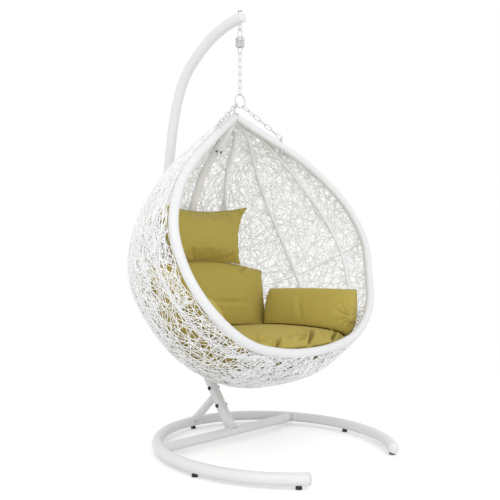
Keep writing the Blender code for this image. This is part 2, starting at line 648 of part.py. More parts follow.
INSIDE = KEEL_R + 0.0003
bowl_verts, bowl_faces = [], []
bowl_t = np.linspace(0.05, 0.995, 60)
bowl_s = np.concatenate([np.linspace(0.0, 1, 20), np.linspace(1, 0, 20)[1:]])
for t in bowl_t:
    for k, share in enumerate(bowl_s):
        p = wall(t, share, -INSIDE)
        bowl_verts.append(at(p[0] if k < 20 else -p[0], p[1], p[2]))
for i in range(len(bowl_t) - 1):
    for k in range(len(bowl_s) - 1):
        a = i * len(bowl_s) + k
        bowl_faces.append((a, a + 1, a + len(bowl_s) + 1, a + len(bowl_s)))
obstacles = [BVHTree.FromPolygons(bowl_verts, bowl_faces)]
for tube in (curve("rim_feel", rim_path, RIM_R + 0.0010, 12, closed=True),
             curve("keel_feel", keel_path, KEEL_R + 0.0001, 10)):
    solid = baked("feel", tube)
    obstacles.append(BVHTree.FromPolygons([v.co.copy() for v in solid.vertices],
                                          [tuple(f.vertices) for f in solid.polygons]))
    bpy.data.meshes.remove(solid)
corners = [bowl_verts]


def settle(points, faces, middle, clear):
    """Draw in each face that a neighbour's corner, or the middle of the face itself, still reaches."""
    for _ in range(24):
        own = BVHTree.FromPolygons(points, faces)
        shrink = {}
        for group in corners:
            for q in group:
                ray = q - middle
                reach = ray.length
                if reach > 0.6:
                    continue
                found, _, face, distance = own.ray_cast(middle, ray.normalized())
                if found is not None and distance > reach - clear:
                    shrink[face] = min(shrink.get(face, 1), max(0.8, (reach - clear) / distance))
        for i, ring in enumerate(faces):
            spots = [sum((points[k] for k in ring), Vector()) / len(ring)]
            spots += [(points[a] + points[b]) / 2 for a, b in zip(ring, ring[1:] + ring[:1])]
            for spot in spots:
                ray = spot - middle
                for tree in obstacles:
                    found, normal, _, distance = tree.ray_cast(middle, ray.normalized(), ray.length + clear)
                    if found is not None and distance < ray.length + clear:
                        shrink[i] = min(shrink.get(i, 1), max(0.8, (distance - clear) / ray.length))
        for tree in obstacles:
            for i, _ in own.overlap(tree):
                shrink[i] = min(shrink.get(i, 1), 0.985)
        if not shrink:
            return
        factor = {}
        for face, scale in shrink.items():
            for k in faces[face]:
                factor[k] = min(factor.get(k, 1), scale)
        for k, scale in factor.items():
            points[k] = middle + (points[k] - middle) * scale


def pillow(name, centre, across, height_dir, size, fineness, round_plan=0.0, draw=0.05, fullness=0.42,
           tufts=(), clear=0.0009):
    """A pillow of two crowned faces that meet in a seam, pressed in where something stands in its way."""
    across = Vector(across).normalized()
    front = across.cross(Vector(height_dir)).normalized()
    up = front.cross(across).normalized()
    wide, tall, thick = size
    nx, ny = fineness
    middle = at(*centre)

    def spot(i, k, face):
        a, b = math.sin(math.pi / 2 * (2 * i / nx - 1)), math.sin(math.pi / 2 * (2 * k / ny - 1))
        x = wide / 2 * a * math.sqrt(1 - round_plan * b * b / 2) * (1 - draw * (1 - b * b) * a * a)
        y = tall / 2 * b * math.sqrt(1 - round_plan * a * a / 2) * (1 - draw * (1 - a * a) * b * b)
        crown = (max(0.0, (1 - a * a)) * max(0.0, (1 - b * b))) ** fullness
        z = face * thick / 2 * crown
        if face > 0:
            for tx, ty, deep, wide_tuft in tufts:
                far = (x - tx) ** 2 + (y - ty) ** 2
                z -= deep * math.exp(-far / (2 * wide_tuft ** 2)) * min(1, crown * 3)
        return middle + across * x + up * y + front * z

    verts, index, faces = [], {}, []
    for face in (1, -1):
        for i in range(nx + 1):
            for k in range(ny + 1):
                edge = i in (0, nx) or k in (0, ny)
                if edge and face < 0:
                    index[i, k, face] = index[i, k, 1]
                    continue
                index[i, k, face] = len(verts)
                verts.append(spot(i, k, face))
    for face in (1, -1):
        for i in range(nx):
            for k in range(ny):
                ring = [index[i, k, face], index[i + 1, k, face], index[i + 1, k + 1, face],
                        index[i, k + 1, face]]
                ring = ring if (i < nx / 2) == (k < ny / 2) else ring[1:] + ring[:1]
                for half in (ring[:3], [ring[0], ring[2], ring[3]]):
                    faces.append(half if face > 0 else half[::-1])
    pressed = []
    for p in verts:
        ray = p - middle
        length = ray.length
        ray.normalize()
        for tree in obstacles:
            found, normal, _, distance = tree.ray_cast(middle, ray, length + 0.02)
            if found is not None:
                slant = max(abs(normal.dot(ray)), 0.35)
                length = min(length, distance - clear / slant)
        pressed.append(middle + ray * length)
    settle(pressed, faces, middle, clear)
    obstacles.append(BVHTree.FromPolygons(pressed, faces))
    corners.append([p.copy() for p in pressed])
    mesh = bpy.data.meshes.new(name)
    mesh.from_pydata(pressed, [], faces)
    return piece(name, smooth(mesh), swivel, OLIVE, 0.9)


pillow("seat_cushion", (0, -0.150, 0.400), (1, 0, 0), (0, 1, 0), (0.98, 0.66, 0.23), (16, 14), round_plan=0.75,
       draw=0.0, fullness=0.30, tufts=((0.02, -0.22, 0.028, 0.035), (-0.20, -0.20, 0.028, 0.035)))
pillow("back_cushion", (0, 0.150, 0.640), (1, 0, 0), (0, 0.42, 0.90), (0.76, 0.38, 0.15), (14, 10),
       round_plan=0.25, draw=0.02, fullness=0.36)
for side, sign in (("right", 1), ("left", -1)):
    pillow(f"arm_cushion_{side}", (0.405 * sign, -0.145, 0.565), (0.466 * sign, -0.885, 0),
           (0.25 * sign, 0.13, 0.96), (0.46, 0.23, 0.17), (12, 10), draw=0.05, fullness=0.36)
pillow("head_pillow", (0, 0.190, 0.930), (1, 0, 0), (0, 0.24, 0.97), (0.52, 0.30, 0.15), (14, 10), draw=0.09,
       fullness=0.45)
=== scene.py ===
# %% [markdown]
# # A woven hanging chair
# The chair is a basket of white plastic strand woven round a bent tube frame. It hangs by three chains, a
# ring, a main chain and a coil spring from a bent mast on an open ring base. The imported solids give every
# size and place. This file dresses them: it lays real strands over the wall, winds the frame, sews and
# stuffs the cushions, and paints the stand.

# %% Load the frame
import json
import math

import bmesh
import bpy
import numpy as np
from mathutils import Matrix, Vector
from mathutils.bvhtree import BVHTree
from mathutils.kdtree import KDTree

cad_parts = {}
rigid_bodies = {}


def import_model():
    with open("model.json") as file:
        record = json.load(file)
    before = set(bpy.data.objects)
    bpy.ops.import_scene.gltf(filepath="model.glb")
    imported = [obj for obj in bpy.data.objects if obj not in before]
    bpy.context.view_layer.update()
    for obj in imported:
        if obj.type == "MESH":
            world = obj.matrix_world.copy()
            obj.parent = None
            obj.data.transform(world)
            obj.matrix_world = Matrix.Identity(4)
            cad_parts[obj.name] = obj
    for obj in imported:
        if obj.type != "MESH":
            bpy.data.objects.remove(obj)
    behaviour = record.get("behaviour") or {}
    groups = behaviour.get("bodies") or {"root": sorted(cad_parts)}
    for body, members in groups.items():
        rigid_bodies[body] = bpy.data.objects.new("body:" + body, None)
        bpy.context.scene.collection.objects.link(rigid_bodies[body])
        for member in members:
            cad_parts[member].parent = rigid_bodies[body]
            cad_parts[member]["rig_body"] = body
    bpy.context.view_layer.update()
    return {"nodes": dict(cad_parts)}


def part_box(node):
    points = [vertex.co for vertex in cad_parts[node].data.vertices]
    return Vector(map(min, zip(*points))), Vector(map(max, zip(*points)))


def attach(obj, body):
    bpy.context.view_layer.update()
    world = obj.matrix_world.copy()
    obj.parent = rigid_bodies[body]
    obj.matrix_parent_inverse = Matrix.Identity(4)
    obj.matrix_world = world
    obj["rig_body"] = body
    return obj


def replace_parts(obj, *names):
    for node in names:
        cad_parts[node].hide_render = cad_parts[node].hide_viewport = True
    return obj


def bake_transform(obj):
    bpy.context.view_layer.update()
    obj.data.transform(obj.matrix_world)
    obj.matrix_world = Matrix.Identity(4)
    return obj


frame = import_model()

nodes = frame["nodes"]
rng = np.random.default_rng(11)
chair = bpy.data.collections.new("dressed_chair")
bpy.context.scene.collection.children.link(chair)

# %% [markdown]
# ## Camera
# The photograph looks at the chair from its front left corner at seat height, a little upwards, through a
# lens of about 46 mm. The camera is turned to that direction by given angles, so that upright lines keep
# their lean.

# %% Camera
CAMERA_AT = (-2.001, -2.000, 0.7539)
CAMERA_TURN, CAMERA_UP = -45.395, 1.953      # degrees
LENS, SENSOR = 45.66, 36                     # millimetres

camera = bpy.data.objects.new("camera", bpy.data.cameras.new("camera"))
bpy.context.scene.collection.objects.link(camera)
camera.location = CAMERA_AT
camera.rotation_euler = (math.radians(90 + CAMERA_UP), 0, math.radians(CAMERA_TURN))
camera.data.lens, camera.data.sensor_width = LENS, SENSOR
bpy.context.scene.camera = camera
bpy.context.scene.view_settings.view_transform = "Standard"
print("camera", round(Vector(CAMERA_AT[:2]).length, 2), "m from the middle of the chair")

# %% [markdown]
# ## Writing shader maths as Python
# A procedural finish is a sum of patterns. Clicking Math nodes together hides that sum, so one small class
# wraps a node's output: `noise * 0.4 + 0.6` then adds the two Math nodes by itself, and `1 - mask` works too.

# %% Sockets as numbers


class Signal:
    """One output in a material's node tree, which Python's operators combine through Math nodes."""

    def __init__(self, tree, socket=None):
        self.tree, self.socket = tree, socket

    def node(self, kind, settings=None, sockets=None, output=0):
        """A node of this type: first its own settings, then the values or links of its sockets."""
        made = self.tree.nodes.new("ShaderNode" + kind)
        for name, value in (settings or {}).items():
            setattr(made, name, value)
        self.feed(made.inputs, sockets or {})
        return Signal(self.tree, made.outputs[output])

    def feed(self, inputs, sockets):
        for name, value in sockets.items():
            if isinstance(value, Signal):
                self.tree.links.new(value.socket, inputs[name])
            else:
                inputs[name].default_value = value

    def pair(self, operation, first, second, clamp=False):
        return self.node("Math", {"operation": operation, "use_clamp": clamp}, {0: first, 1: second})

    def __add__(self, other):
        return self.pair("ADD", self, other)

    def __mul__(self, other):
        return self.pair("MULTIPLY", self, other)

    def __sub__(self, other):
        return self.pair("SUBTRACT", self, other)

    def __rsub__(self, other):
        return self.pair("SUBTRACT", other, self)

    __radd__, __rmul__ = __add__, __mul__

    def wave(self):
        """A smooth wave between 0 and 1 that repeats each time the signal grows by 1."""
        return self.node("Math", {"operation": "SINE"}, {0: self * (2 * math.pi)}) * 0.5 + 0.5

    def limited(self):
        return self.pair("ADD", self, 0.0, clamp=True)

    def between(self, low, high):
        """The colour low where the signal is 0 and high where it is 1."""
        return self.node("Mix", {"data_type": "RGBA"}, {0: self, 6: low, 7: high}, output=2)


# %% [markdown]
# ## What every finish is made of
# Each finish is one Principled shader, fed by noise in object coordinates, which stay with a piece when it
# moves.


def finish_of(name):
    """A new material, and a Signal to start its maths from."""
    mat = bpy.data.materials.new(name)
    mat.use_nodes = True
    return mat, Signal(mat.node_tree)


def plug(mat, start, **sockets):
    """Values and Signals into the shader; underscores in a name stand for spaces."""
    shader = mat.node_tree.nodes["Principled BSDF"]
    start.feed(shader.inputs, {name.replace("_", " "): value for name, value in sockets.items()})
    return mat


def place(start):
    return start.node("TexCoord", output=3)


def noise(start, scale, detail=2.0, rough=0.5, at=None):
    at = at or place(start)
    return start.node("TexNoise", {}, {"Vector": at, "Scale": scale, "Detail": detail, "Roughness": rough})


def bump(start, height, strength, distance):
    return start.node("Bump", {}, {"Height": height, "Strength": strength, "Distance": distance})


def grey(value, warm=0.0):
    return (value + warm, value, value - warm, 1)


# %% [markdown]
# ## Powder-coated tube
# The stand is steel tube with a baked white powder coat. Up close such a coat has a faint orange-peel
# ripple, and it dulls a little where hands and grass touch it. Noise at two sizes gives both.

# %% Powder coat
PEEL, SMUDGE = 420, 9              # sizes of a noise are how many of its cells make a metre


def powder_coat(name, tone, rough=0.38):
    mat, start = finish_of(name)
    smudge = noise(start, SMUDGE, 3)
    return plug(mat, start, Base_Color=smudge.between(grey(tone * 0.965, 0.004), grey(tone)),
                Roughness=smudge * 0.14 + (rough - 0.07), Coat_Weight=0.25, Coat_Roughness=0.2,
                Normal=bump(start, noise(start, PEEL), 0.10, 0.0004))


stand_coat = powder_coat("stand_powder_coat", 0.72)
# The chains, the hanger and the U-bolts wear the stand's white powder coat, painted darker: painted shade on
# their thin wire.
chain_coat_painted_shade = powder_coat("chain_powder_coat_painted_shade", 0.62, 0.30)

# %% [markdown]
# ## Small metal, rubber and plastic
# Bolt heads and nuts are turned metal with fine scratches, the feet are moulded black rubber with a grain,
# and the tube ends wear moulded plastic plugs.

# %% Small metal, rubber and plastic
SCRATCHES, RUBBER_GRAIN, PLASTIC_GRAIN = 260, 900, 500


def turned_metal(name, tone, rough):
    mat, start = finish_of(name)
    marks = noise(start, SCRATCHES, 4, 0.7)
    return plug(mat, start, Base_Color=marks.between(grey(tone * 0.8), grey(tone)), Metallic=1.0,
                Roughness=marks * 0.22 + rough, Normal=bump(start, marks, 0.15, 0.0002))


def moulded(name, colour, rough, grain):
    mat, start = finish_of(name)
    pits = noise(start, grain, 3)
    dull = tuple(c * 0.85 for c in colour[:3]) + (1,)
    return plug(mat, start, Base_Color=pits.between(dull, colour), Roughness=pits * 0.2 + rough,
                Normal=bump(start, pits, 0.25, 0.0003))


zinc = turned_metal("zinc_plated_steel", 0.86, 0.30)
dark_steel = turned_metal("blackened_steel", 0.07, 0.28)
rubber = moulded("foot_rubber", (0.022, 0.022, 0.024, 1), 0.6, RUBBER_GRAIN)
plug_plastic = moulded("end_plug_plastic", grey(0.78), 0.4, PLASTIC_GRAIN)

# %% [markdown]
# ## Synthetic wicker
# The strand is extruded plastic. It has fine lines along its length from the die and a satin skin. Where
# it is wound round a tube, each turn is a low ridge. `run` is the length along a strand or tube, in metres,
# which each mesh carries as an attribute, so that the pattern follows every bend.

# %% Wicker finishes
WIND_PITCH, SHADES, DIE_LINES = 0.006, 30, 700


def wicker(name, tone, turn=None):
    mat, start = finish_of(name)
    run = start.node("Attribute", {"attribute_name": "run"}, output=2)
    shade, lines = noise(start, SHADES, 3), noise(start, DIE_LINES)
    if turn:
        turns = run * (1 / turn)
        number = start.node("Math", {"operation": "FLOOR"}, {0: turns})
        each = start.node("TexWhiteNoise", {"noise_dimensions": "1D"}, {"W": number})
        shade = shade * 0.5 + each * 0.5
        lines = lines * 0.4 + turns.wave()
    return plug(mat, start, Base_Color=shade.between(grey(tone * 0.93, -0.004), grey(tone, -0.006)),
                Roughness=shade * 0.15 + 0.36, Normal=bump(start, lines, 0.35, 0.0004),
                Coat_Weight=0.15, Coat_Roughness=0.3)


# One white strand in three tones, for how light falls on each part: the woven strands are painted lightest,
# painted light against the shadow they cast on one another, and the wound keel and ribs and, darkest, the rim
# are painted darker, painted shade.
strand_plastic_painted_light = wicker("woven_strand", 0.94)
wound_plastic_painted_shade = wicker("wound_strand_painted_shade", 0.88, WIND_PITCH)
rim_plastic_painted_shade = wicker("rim_strand_painted_shade", 0.74, WIND_PITCH)

# %% [markdown]
# ## Olive cloth
# The cushion covers are a plain weave of slubby polyester. Two crossed waves make the threads, a stretched
# noise makes the thicker slubs in both directions, and a broad noise fades the dye slightly.

# %% Olive cloth
THREADS, SLUB_LONG, SLUB_THIN, FADING = 1100, 18, 260, 6


def cloth(name, colour, deep):
    mat, start = finish_of(name)
    across, side, up = [start.node("SeparateXYZ", {}, {0: place(start)}, axis) for axis in range(3)]
    weave = ((across + side * 0.5) * THREADS).wave() * 0.5 + ((up + side * 0.5) * THREADS).wave() * 0.5
    stretched = [start.node("Mapping", {}, {0: place(start), 3: scale}) for scale in
                 ((SLUB_LONG, SLUB_LONG, SLUB_THIN), (SLUB_THIN, SLUB_THIN, SLUB_LONG))]
    slub = noise(start, 1.0, at=stretched[0]) * 0.5 + noise(start, 1.0, at=stretched[1]) * 0.5
    mask = (slub * 0.75 + noise(start, FADING) * 0.35 - 0.05).limited()
    return plug(mat, start, Base_Color=mask.between(deep, colour), Roughness=slub * 0.1 + 0.83,
                Normal=bump(start, weave * 0.35 + slub, 0.30, 0.0006), Sheen_Weight=0.14,
                Sheen_Roughness=0.5, Sheen_Tint=(0.95, 0.85, 0.40, 1))


olive = cloth("olive_cloth", (0.475, 0.382, 0.078, 1), (0.315, 0.245, 0.042, 1))
# A darker copy of the olive cloth: painted shade along the seams and on the ties.
olive_painted_shade = cloth("olive_seam_painted_shade", (0.36, 0.29, 0.07, 1), (0.25, 0.20, 0.045, 1))

# %% [markdown]
# ## Lines and solids
# Most pieces start as a line of points. Spacing the points evenly keeps a bar's faces alike all along it.
# Every piece is one smooth mesh that rides on a body of the chair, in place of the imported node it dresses.

# %% Lines and solids
MM = 0.001


def unit(v):
    return v / np.linalg.norm(v, axis=-1, keepdims=True)


def around(count):
    """Angles evenly round a circle."""
    return np.linspace(0, 2 * np.pi, count, endpoint=False)


def length_along(points):
    return np.concatenate([[0], np.cumsum(np.linalg.norm(np.diff(points, axis=0), axis=1))])


def at_lengths(points, run, spots):
    """The points at some lengths along a line whose own points lie at the lengths `run`."""
    return np.stack([np.interp(spots, run, points[:, k]) for k in range(3)], 1)


def evenly(points, step, closed=False):
    """Points resampled every `step` metres along a smooth line, and the line's length."""
    points = np.array(points, float)
    if closed:
        points = np.vstack([points, points[:1]])
    run = length_along(points)
    line = at_lengths(points, run, np.linspace(0, run[-1], max(2, int(round(run[-1] / step)) + 1)))
    return (line[:-1] if closed else line), run[-1]


def through(stations, at, last=None):
    """A smooth curve through evenly spaced stations, read at positions from 0 to 1."""
    p = np.array(stations, float)
    p = np.vstack([2 * p[0] - p[1], p, 2 * p[-1] - p[-2] if last is None else last])
    spot = np.clip(np.atleast_1d(at), 0, 1) * (len(stations) - 1)
    i = np.minimum(spot.astype(int), len(stations) - 2)
    f = (spot - i)[:, None]
    a, b, c, d = p[i], p[i + 1], p[i + 2], p[i + 3]
    return (2 * b + (c - a) * f + (2 * a - 5 * b + 4 * c - d) * f * f + (3 * b - 3 * c + d - a) * f ** 3) / 2


def solid(name, verts, faces, finish, body, node=None, run=None):
    """A smooth mesh that rides on a body, in place of the CAD node that it dresses."""
    mesh = bpy.data.meshes.new(name)
    mesh.from_pydata([tuple(v) for v in verts], [], faces)
    mesh.polygons.foreach_set("use_smooth", [True] * len(mesh.polygons))
    if run is not None:
        mesh.attributes.new("run", "FLOAT", "POINT").data.foreach_set("value", np.asarray(run, np.float32))
    mesh.materials.append(finish)
    obj = bpy.data.objects.new(name, mesh)
    chair.objects.link(obj)
    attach(obj, body)
    if node:
        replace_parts(obj, node)
    return obj


# %% [markdown]
# ## Tubes and wires
# Everything on the frame is a round bar bent along a path. A swept mesh is better here than a curve object,
# because it can carry `run` for the shader and can swell into a ridge at each turn of a winding.

# %% Sweep a round bar along a path
ASKEW = (0.13, 0.31, 0.94)                   # a direction that no bar of the chair starts in
RIDGE = np.array([-0.35, 0.15, 0.2]) * MM    # the surface of a winding, over the three points of a turn


def sweep(name, points, radius, finish, body, sides=20, closed=False, node=None):
    """A round bar along the points, capped at its ends. radius is one number or one for each point."""
    points = np.array(points, float)
    count = len(points)
    radius = np.broadcast_to(np.asarray(radius, float), (count,))
    ahead = np.roll(points, -1, 0) - np.roll(points, 1, 0)
    if not closed:
        ahead[0], ahead[-1] = points[1] - points[0], points[-1] - points[-2]
    ahead = unit(ahead)
    side = [np.cross(ahead[0], ASKEW)]
    for direction in ahead:
        side.append(unit(side[-1] - direction * side[-1].dot(direction)))
    side = np.array(side[1:])
    up = np.cross(ahead, side)
    if closed:
        slip = math.atan2(up[-1].dot(side[0]), side[-1].dot(side[0]))
        turn = np.linspace(0, slip, count, endpoint=False)[:, None]
        side, up = side * np.cos(turn) + up * np.sin(turn), up * np.cos(turn) - side * np.sin(turn)
    c, s = np.cos(around(sides))[None, :, None], np.sin(around(sides))[None, :, None]
    rings = points[:, None] + radius[:, None, None] * (side[:, None] * c + up[:, None] * s)
    i, k = np.meshgrid(np.arange(count if closed else count - 1), np.arange(sides), indexing="ij")
    i2, k2 = (i + 1) % count, (k + 1) % sides
    quads = np.stack([i * sides + k, i * sides + k2, i2 * sides + k2, i2 * sides + k], -1)
    faces = quads.reshape(-1, 4).tolist()
    if not closed:
        faces.append(list(range(sides))[::-1])
        faces.append([(count - 1) * sides + n for n in range(sides)])
    run = np.repeat(length_along(points), sides)
    return solid(name, rings.reshape(-1, 3), faces, finish, body, node, run)


def wound(points, radius, closed=False):
    """The points and radii of a tube with a low ridge for each turn of the strand wound round it."""
    line, _ = evenly(points, WIND_PITCH / len(RIDGE), closed)
    return line, radius + RIDGE[np.arange(len(line)) % len(RIDGE)]


# %% [markdown]
# ## Turned pieces
# Feet, plugs, bolts and nuts are turned on a lathe or moulded round an axis. One outline spun about that
# axis makes each. A nut is spun with six corners instead of a circle.

# %% Spin an outline


def lathe(name, outline, turned_to, finish, body, node, steps=40, flats=None):
    """Spins (radius, height) in mm, top to bottom. Heights between the pair in `flats` get six corners."""
    angle = around(steps)
    six = np.cos(np.pi / 6) / np.cos((angle % (np.pi / 3)) - np.pi / 6)
    verts, faces = [], []
    for r, z in outline:
        far = r * MM * (six if flats and flats[0] <= z <= flats[1] else np.ones(steps))
        verts += [turned_to @ Vector((f * math.cos(a), f * math.sin(a), z * MM)) for a, f in zip(angle, far)]
    for first in range(0, (len(outline) - 1) * steps, steps):
        for k, k2 in zip(range(steps), [*range(1, steps), 0]):
            faces.append([first + k, first + steps + k, first + steps + k2, first + k2])
    faces.append(list(range(steps)))
    faces.append([(len(outline) - 1) * steps + k for k in range(steps)][::-1])
    obj = solid(name, verts, faces, finish, body, node)
    obj.modifiers.new("crisp", "WEIGHTED_NORMAL")
    return obj


def along(direction, at):
    """A placement whose Z looks along the direction."""
    return Matrix.Translation(at) @ Vector(direction).to_track_quat("Z", "Y").to_matrix().to_4x4()


# %% [markdown]
# ## Base ring
# The base is one tube rolled to an oval hoop that is left open at the front, where plastic plugs close it.
# It stands on small rubber feet. A cross bar is welded between its sides, with a bead of weld at each end.

# %% Base ring
DEPTH = 0.0845                               # the post stands this far behind the frame's origin
RING_R, RING_Z = 0.0225, 0.0345
RING_RX, RING_RY, RING_CY = 0.464, 0.518, -0.246
RING_OPEN = 144.4                            # degrees from the rear to each open end
FOOT = [(0.1, 16.5), (4, 16.5), (4, 11.7), (8.8, 11.7), (9.8, 11.2), (11.9, 6.2), (12, 5.5), (12, 1.4),
        (11.5, 0.4), (10.5, 0), (0.1, 0)]
RING_PLUG = [(0.1, 9.8), (6, 9.5), (12, 8.3), (16.8, 6.2), (20.2, 3.5), (21.9, 1.2), (21.9, 0.3), (19.2, 0.3),
             (18.8, -17), (0.1, -17)]


def middle(node):
    low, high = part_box(node)
    return (low + high) / 2


around_ring = np.radians(np.linspace(-RING_OPEN, RING_OPEN, 400))
oval = np.column_stack([RING_RX * np.sin(around_ring), RING_CY + DEPTH + RING_RY * np.cos(around_ring),
                        np.full(400, RING_Z)])
ring_line, ring_length = evenly(oval, 0.012)
sweep("ring_tube", ring_line, RING_R, stand_coat, "stand", 32, node="base_ring")
for foot in ("foot_rear", "foot_left", "foot_right", "foot_front_left", "foot_front_right"):
    spot = middle(foot)
    lathe(foot.replace("foot", "pad"), FOOT, Matrix.Translation((spot.x, spot.y, 0)), rubber, "stand", foot)
for side, tip, inner in (("left", ring_line[0], ring_line[1]), ("right", ring_line[-1], ring_line[-2])):
    lathe(f"ring_plug_{side}", RING_PLUG, along(tip - inner, tip), plug_plastic, "stand", f"ring_cap_{side}")
print("base ring tube is", round(ring_length, 2), "m long")

# %% [markdown]
# ## Post, brace and mast
# A short post leans back from the cross bar, and a brace runs from the back of the ring up to it. The mast
# is one long tube, squeezed at its foot to slide into the post, where two bolts hold it.

# %% Post, brace and mast
POST_LEAN, POST_LEN, POST_R = math.atan2(0.127, 0.1765), 0.255, 0.025
BAR_R, BRACE_R, MAST_R = 0.020, 0.0185, 0.025
BAR_SHORT, BRACE_TOP = 0.014, (0, 0.120, 0.1745)
MAST = [(0.225, 0.366), (0.300, 0.500), (0.367, 0.625), (0.420, 0.750), (0.463, 0.880), (0.487, 1.010),
        (0.490, 1.140), (0.4735, 1.268), (0.4565, 1.372), (0.441, 1.465), (0.416, 1.567), (0.381, 1.657),
        (0.352, 1.708), (0.311, 1.757), (0.256, 1.801), (0.193, 1.842), (0.122, 1.876), (0.035, 1.901),
        (-0.060, 1.912)]
MAST_PARTS = 8                               # lengths of tube between two stations
MAST_FOOT = [(0.10, 0.022), (0.18, 0.022), (0.252, 0.022), (0.2553, 0.0236), (0.2585, MAST_R),
             (0.275, MAST_R)]                # up the post, and the radius there
POST = [(0.010, POST_R), (0.06, POST_R), (0.15, POST_R), (POST_LEN - 0.0022, POST_R),
        (POST_LEN - 0.0006, POST_R - 0.0006), (POST_LEN, POST_R - 0.0022)]
MAST_CAP = [(0.1, 6.2), (10, 6), (18, 4.6), (22.8, 2.2), (24.5, 0.3), (20.8, 0.3), (20.5, -6), (0.1, -6)]


def at_depth(points):
    return np.array(points, float) + (0, DEPTH, 0)


def up_post(distance):
    return np.array([0, DEPTH + distance * math.sin(POST_LEAN), RING_Z + distance * math.cos(POST_LEAN)])


def stand_tube(name, line, radius, node):
    return sweep(name, line, radius, stand_coat, "stand", 32, node=node)


curve = through(at_depth([(0, y, z) for y, z in MAST]), np.linspace(0, 1, MAST_PARTS * (len(MAST) - 1) + 1))
mast_line = np.vstack([[up_post(d) for d, _ in MAST_FOOT], curve])
stand_tube("mast_tube", mast_line, [r for _, r in MAST_FOOT] + [MAST_R] * len(curve), "mast")
stand_tube("post_tube", [up_post(d) for d, _ in POST], [r for _, r in POST], "post")
brace_line = at_depth([(0, RING_CY + RING_RY - 0.012, RING_Z + 0.011), BRACE_TOP])
stand_tube("brace_tube", evenly(brace_line, 0.02)[0], BRACE_R, "rear_brace")
bar_x = RING_RX * math.sin(math.acos(-RING_CY / RING_RY)) - BAR_SHORT
stand_tube("bar_tube", evenly([(-bar_x, DEPTH, RING_Z), (bar_x, DEPTH, RING_Z)], 0.05)[0], BAR_R, "cross_bar")
lathe("mast_plug", MAST_CAP, along(mast_line[-1] - mast_line[-2], mast_line[-1]), plug_plastic, "stand",
      "mast_end_cap")
print("mast of", round(length_along(mast_line)[-1], 2), "m, cross bar of", round(2 * bar_x, 2), "m")

# %% [markdown]
# ## Clamp bolts
# Each clamp bolt has a domed head on one side and a cap nut on the other, with a washer under both.

# %% Clamp bolts
BOLT = [(0.1, 37.2), (3, 36.8), (5.5, 35.2), (7.2, 32.5), (7.5, 30), (7.5, 27.2), (9.2, 27.1), (9.2, 25.6),
        (3.9, 25.5), (3.9, -25.5), (9.2, -25.6), (9.2, -26.8), (7.6, -26.9), (7.6, -30.5), (6.6, -31.8),
        (4, -33.5), (0.1, -34)]
for name, distance in (("lower", 0.130), ("upper", 0.220)):
    lathe(f"post_bolt_{name}", BOLT, along((1, 0, 0), Vector(up_post(distance))), dark_steel, "stand",
          f"clamp_bolt_{name}", flats=(-31.8, -26.85))
print("clamp bolts of", BOLT[0][1] - BOLT[-1][1], "mm")

# %% [markdown]
# ## Weld beads
# Where one tube meets another, a bead of weld runs round the joint. It follows the place where the two
# round surfaces cross, so each point of it is found by sliding out along the joining tube.

# %% Weld beads
BEAD_R, BEAD_SWELL, BEAD_POINTS, RIPPLE = 0.0022, 0.0005, 48, 6
SLIDES, SLIDE_PART, SLIDE_MOST = 30, 0.8, 0.004


def bead(name, centre, direction, radius, surface):
    """A thin weld round a tube that leaves `centre` along `direction`, where it meets another tube."""
    turned_to = along(direction, Vector(centre))
    ahead = np.array(turned_to.to_3x3() @ Vector((0, 0, 1)))
    feet = [turned_to @ Vector((radius * math.cos(a), radius * math.sin(a), 0)) for a in around(BEAD_POINTS)]
    swell = BEAD_R + BEAD_SWELL * np.sin(np.arange(BEAD_POINTS) * 2 * np.pi / RIPPLE)
    return sweep(name, [surface(np.array(foot), ahead) for foot in feet], swell, stand_coat, "stand", 10,
                 closed=True)


def on_tube(line, tube_radius):
    """How far a point slides along a direction until it lies on the tube round the line."""
    line = np.array(line, float)

    def slide(point, direction):
        for _ in range(SLIDES):
            near = line[np.linalg.norm(line - point, axis=1).argmin()]
            step = (tube_radius - np.linalg.norm(point - near)) * SLIDE_PART
            point = point + direction * min(max(step, -SLIDE_MOST), SLIDE_MOST)
        return point
    return slide


on_ring = on_tube(evenly(ring_line, 0.0015)[0], RING_R)
for name, sign in (("weld_bar_left", -1), ("weld_bar_right", 1)):
    bead(name, (sign * (bar_x - 0.010), DEPTH, RING_Z), (-sign, 0, 0), BAR_R, on_ring)
a = around(60)[:, None]
climb = np.sqrt(np.clip(BAR_R ** 2 - (POST_R * np.sin(a)) ** 2, 0.010 ** 2, None))
post_way, post_side = up_post(1) - up_post(0), (1, 0, 0)
foot_loop = up_post(0) + climb * post_way + POST_R * (
    np.cos(a) * post_side + np.sin(a) * np.cross(post_way, post_side))
sweep("weld_post", foot_loop, 0.0024 + 0.0004 * np.sin(around(60) * 9), stand_coat, "stand", 10, closed=True)
brace_way = brace_line[1] - brace_line[0]
bead("weld_brace_low", brace_line[0] + brace_way * 0.08, brace_way, BRACE_R, on_ring)
on_post = on_tube([up_post(d) for d in np.arange(0.02, 0.25, 0.0015)], POST_R)
bead("weld_brace_high", brace_line[0] + brace_way * 0.86, -brace_way, BRACE_R, on_post)
print("weld round the post", round(length_along(foot_loop)[-1], 3), "m long")

# %% [markdown]
# ## Hanger
# An eye bolt goes up through the mast. Two wire drawbars cross inside a coil spring, each hooked over the
# spring's far end, so the weight of the chair squeezes the spring instead of pulling it open.

# %% Eye bolt
HANG = np.array([0, DEPTH - 0.047, 0])
EYE_Z, EYE_HALF_W, EYE_HALF_H, EYE_R = 1.8665, 0.0095, 0.0135, 0.003
SHANK_R, THREAD_DEEP, THREAD_PITCH, THREAD_END = 0.0037, 0.0002, 0.002, (0.0004, 0.0009, 0.0014)
EYE_NUT = [(4.1, 18), (7.2, 18), (9, 17), (9.2, 16), (9.2, 9.2), (8.8, 8.6), (11.8, 8.5), (11.8, 6.8),
           (7, 6.6), (4.1, 6.6)]

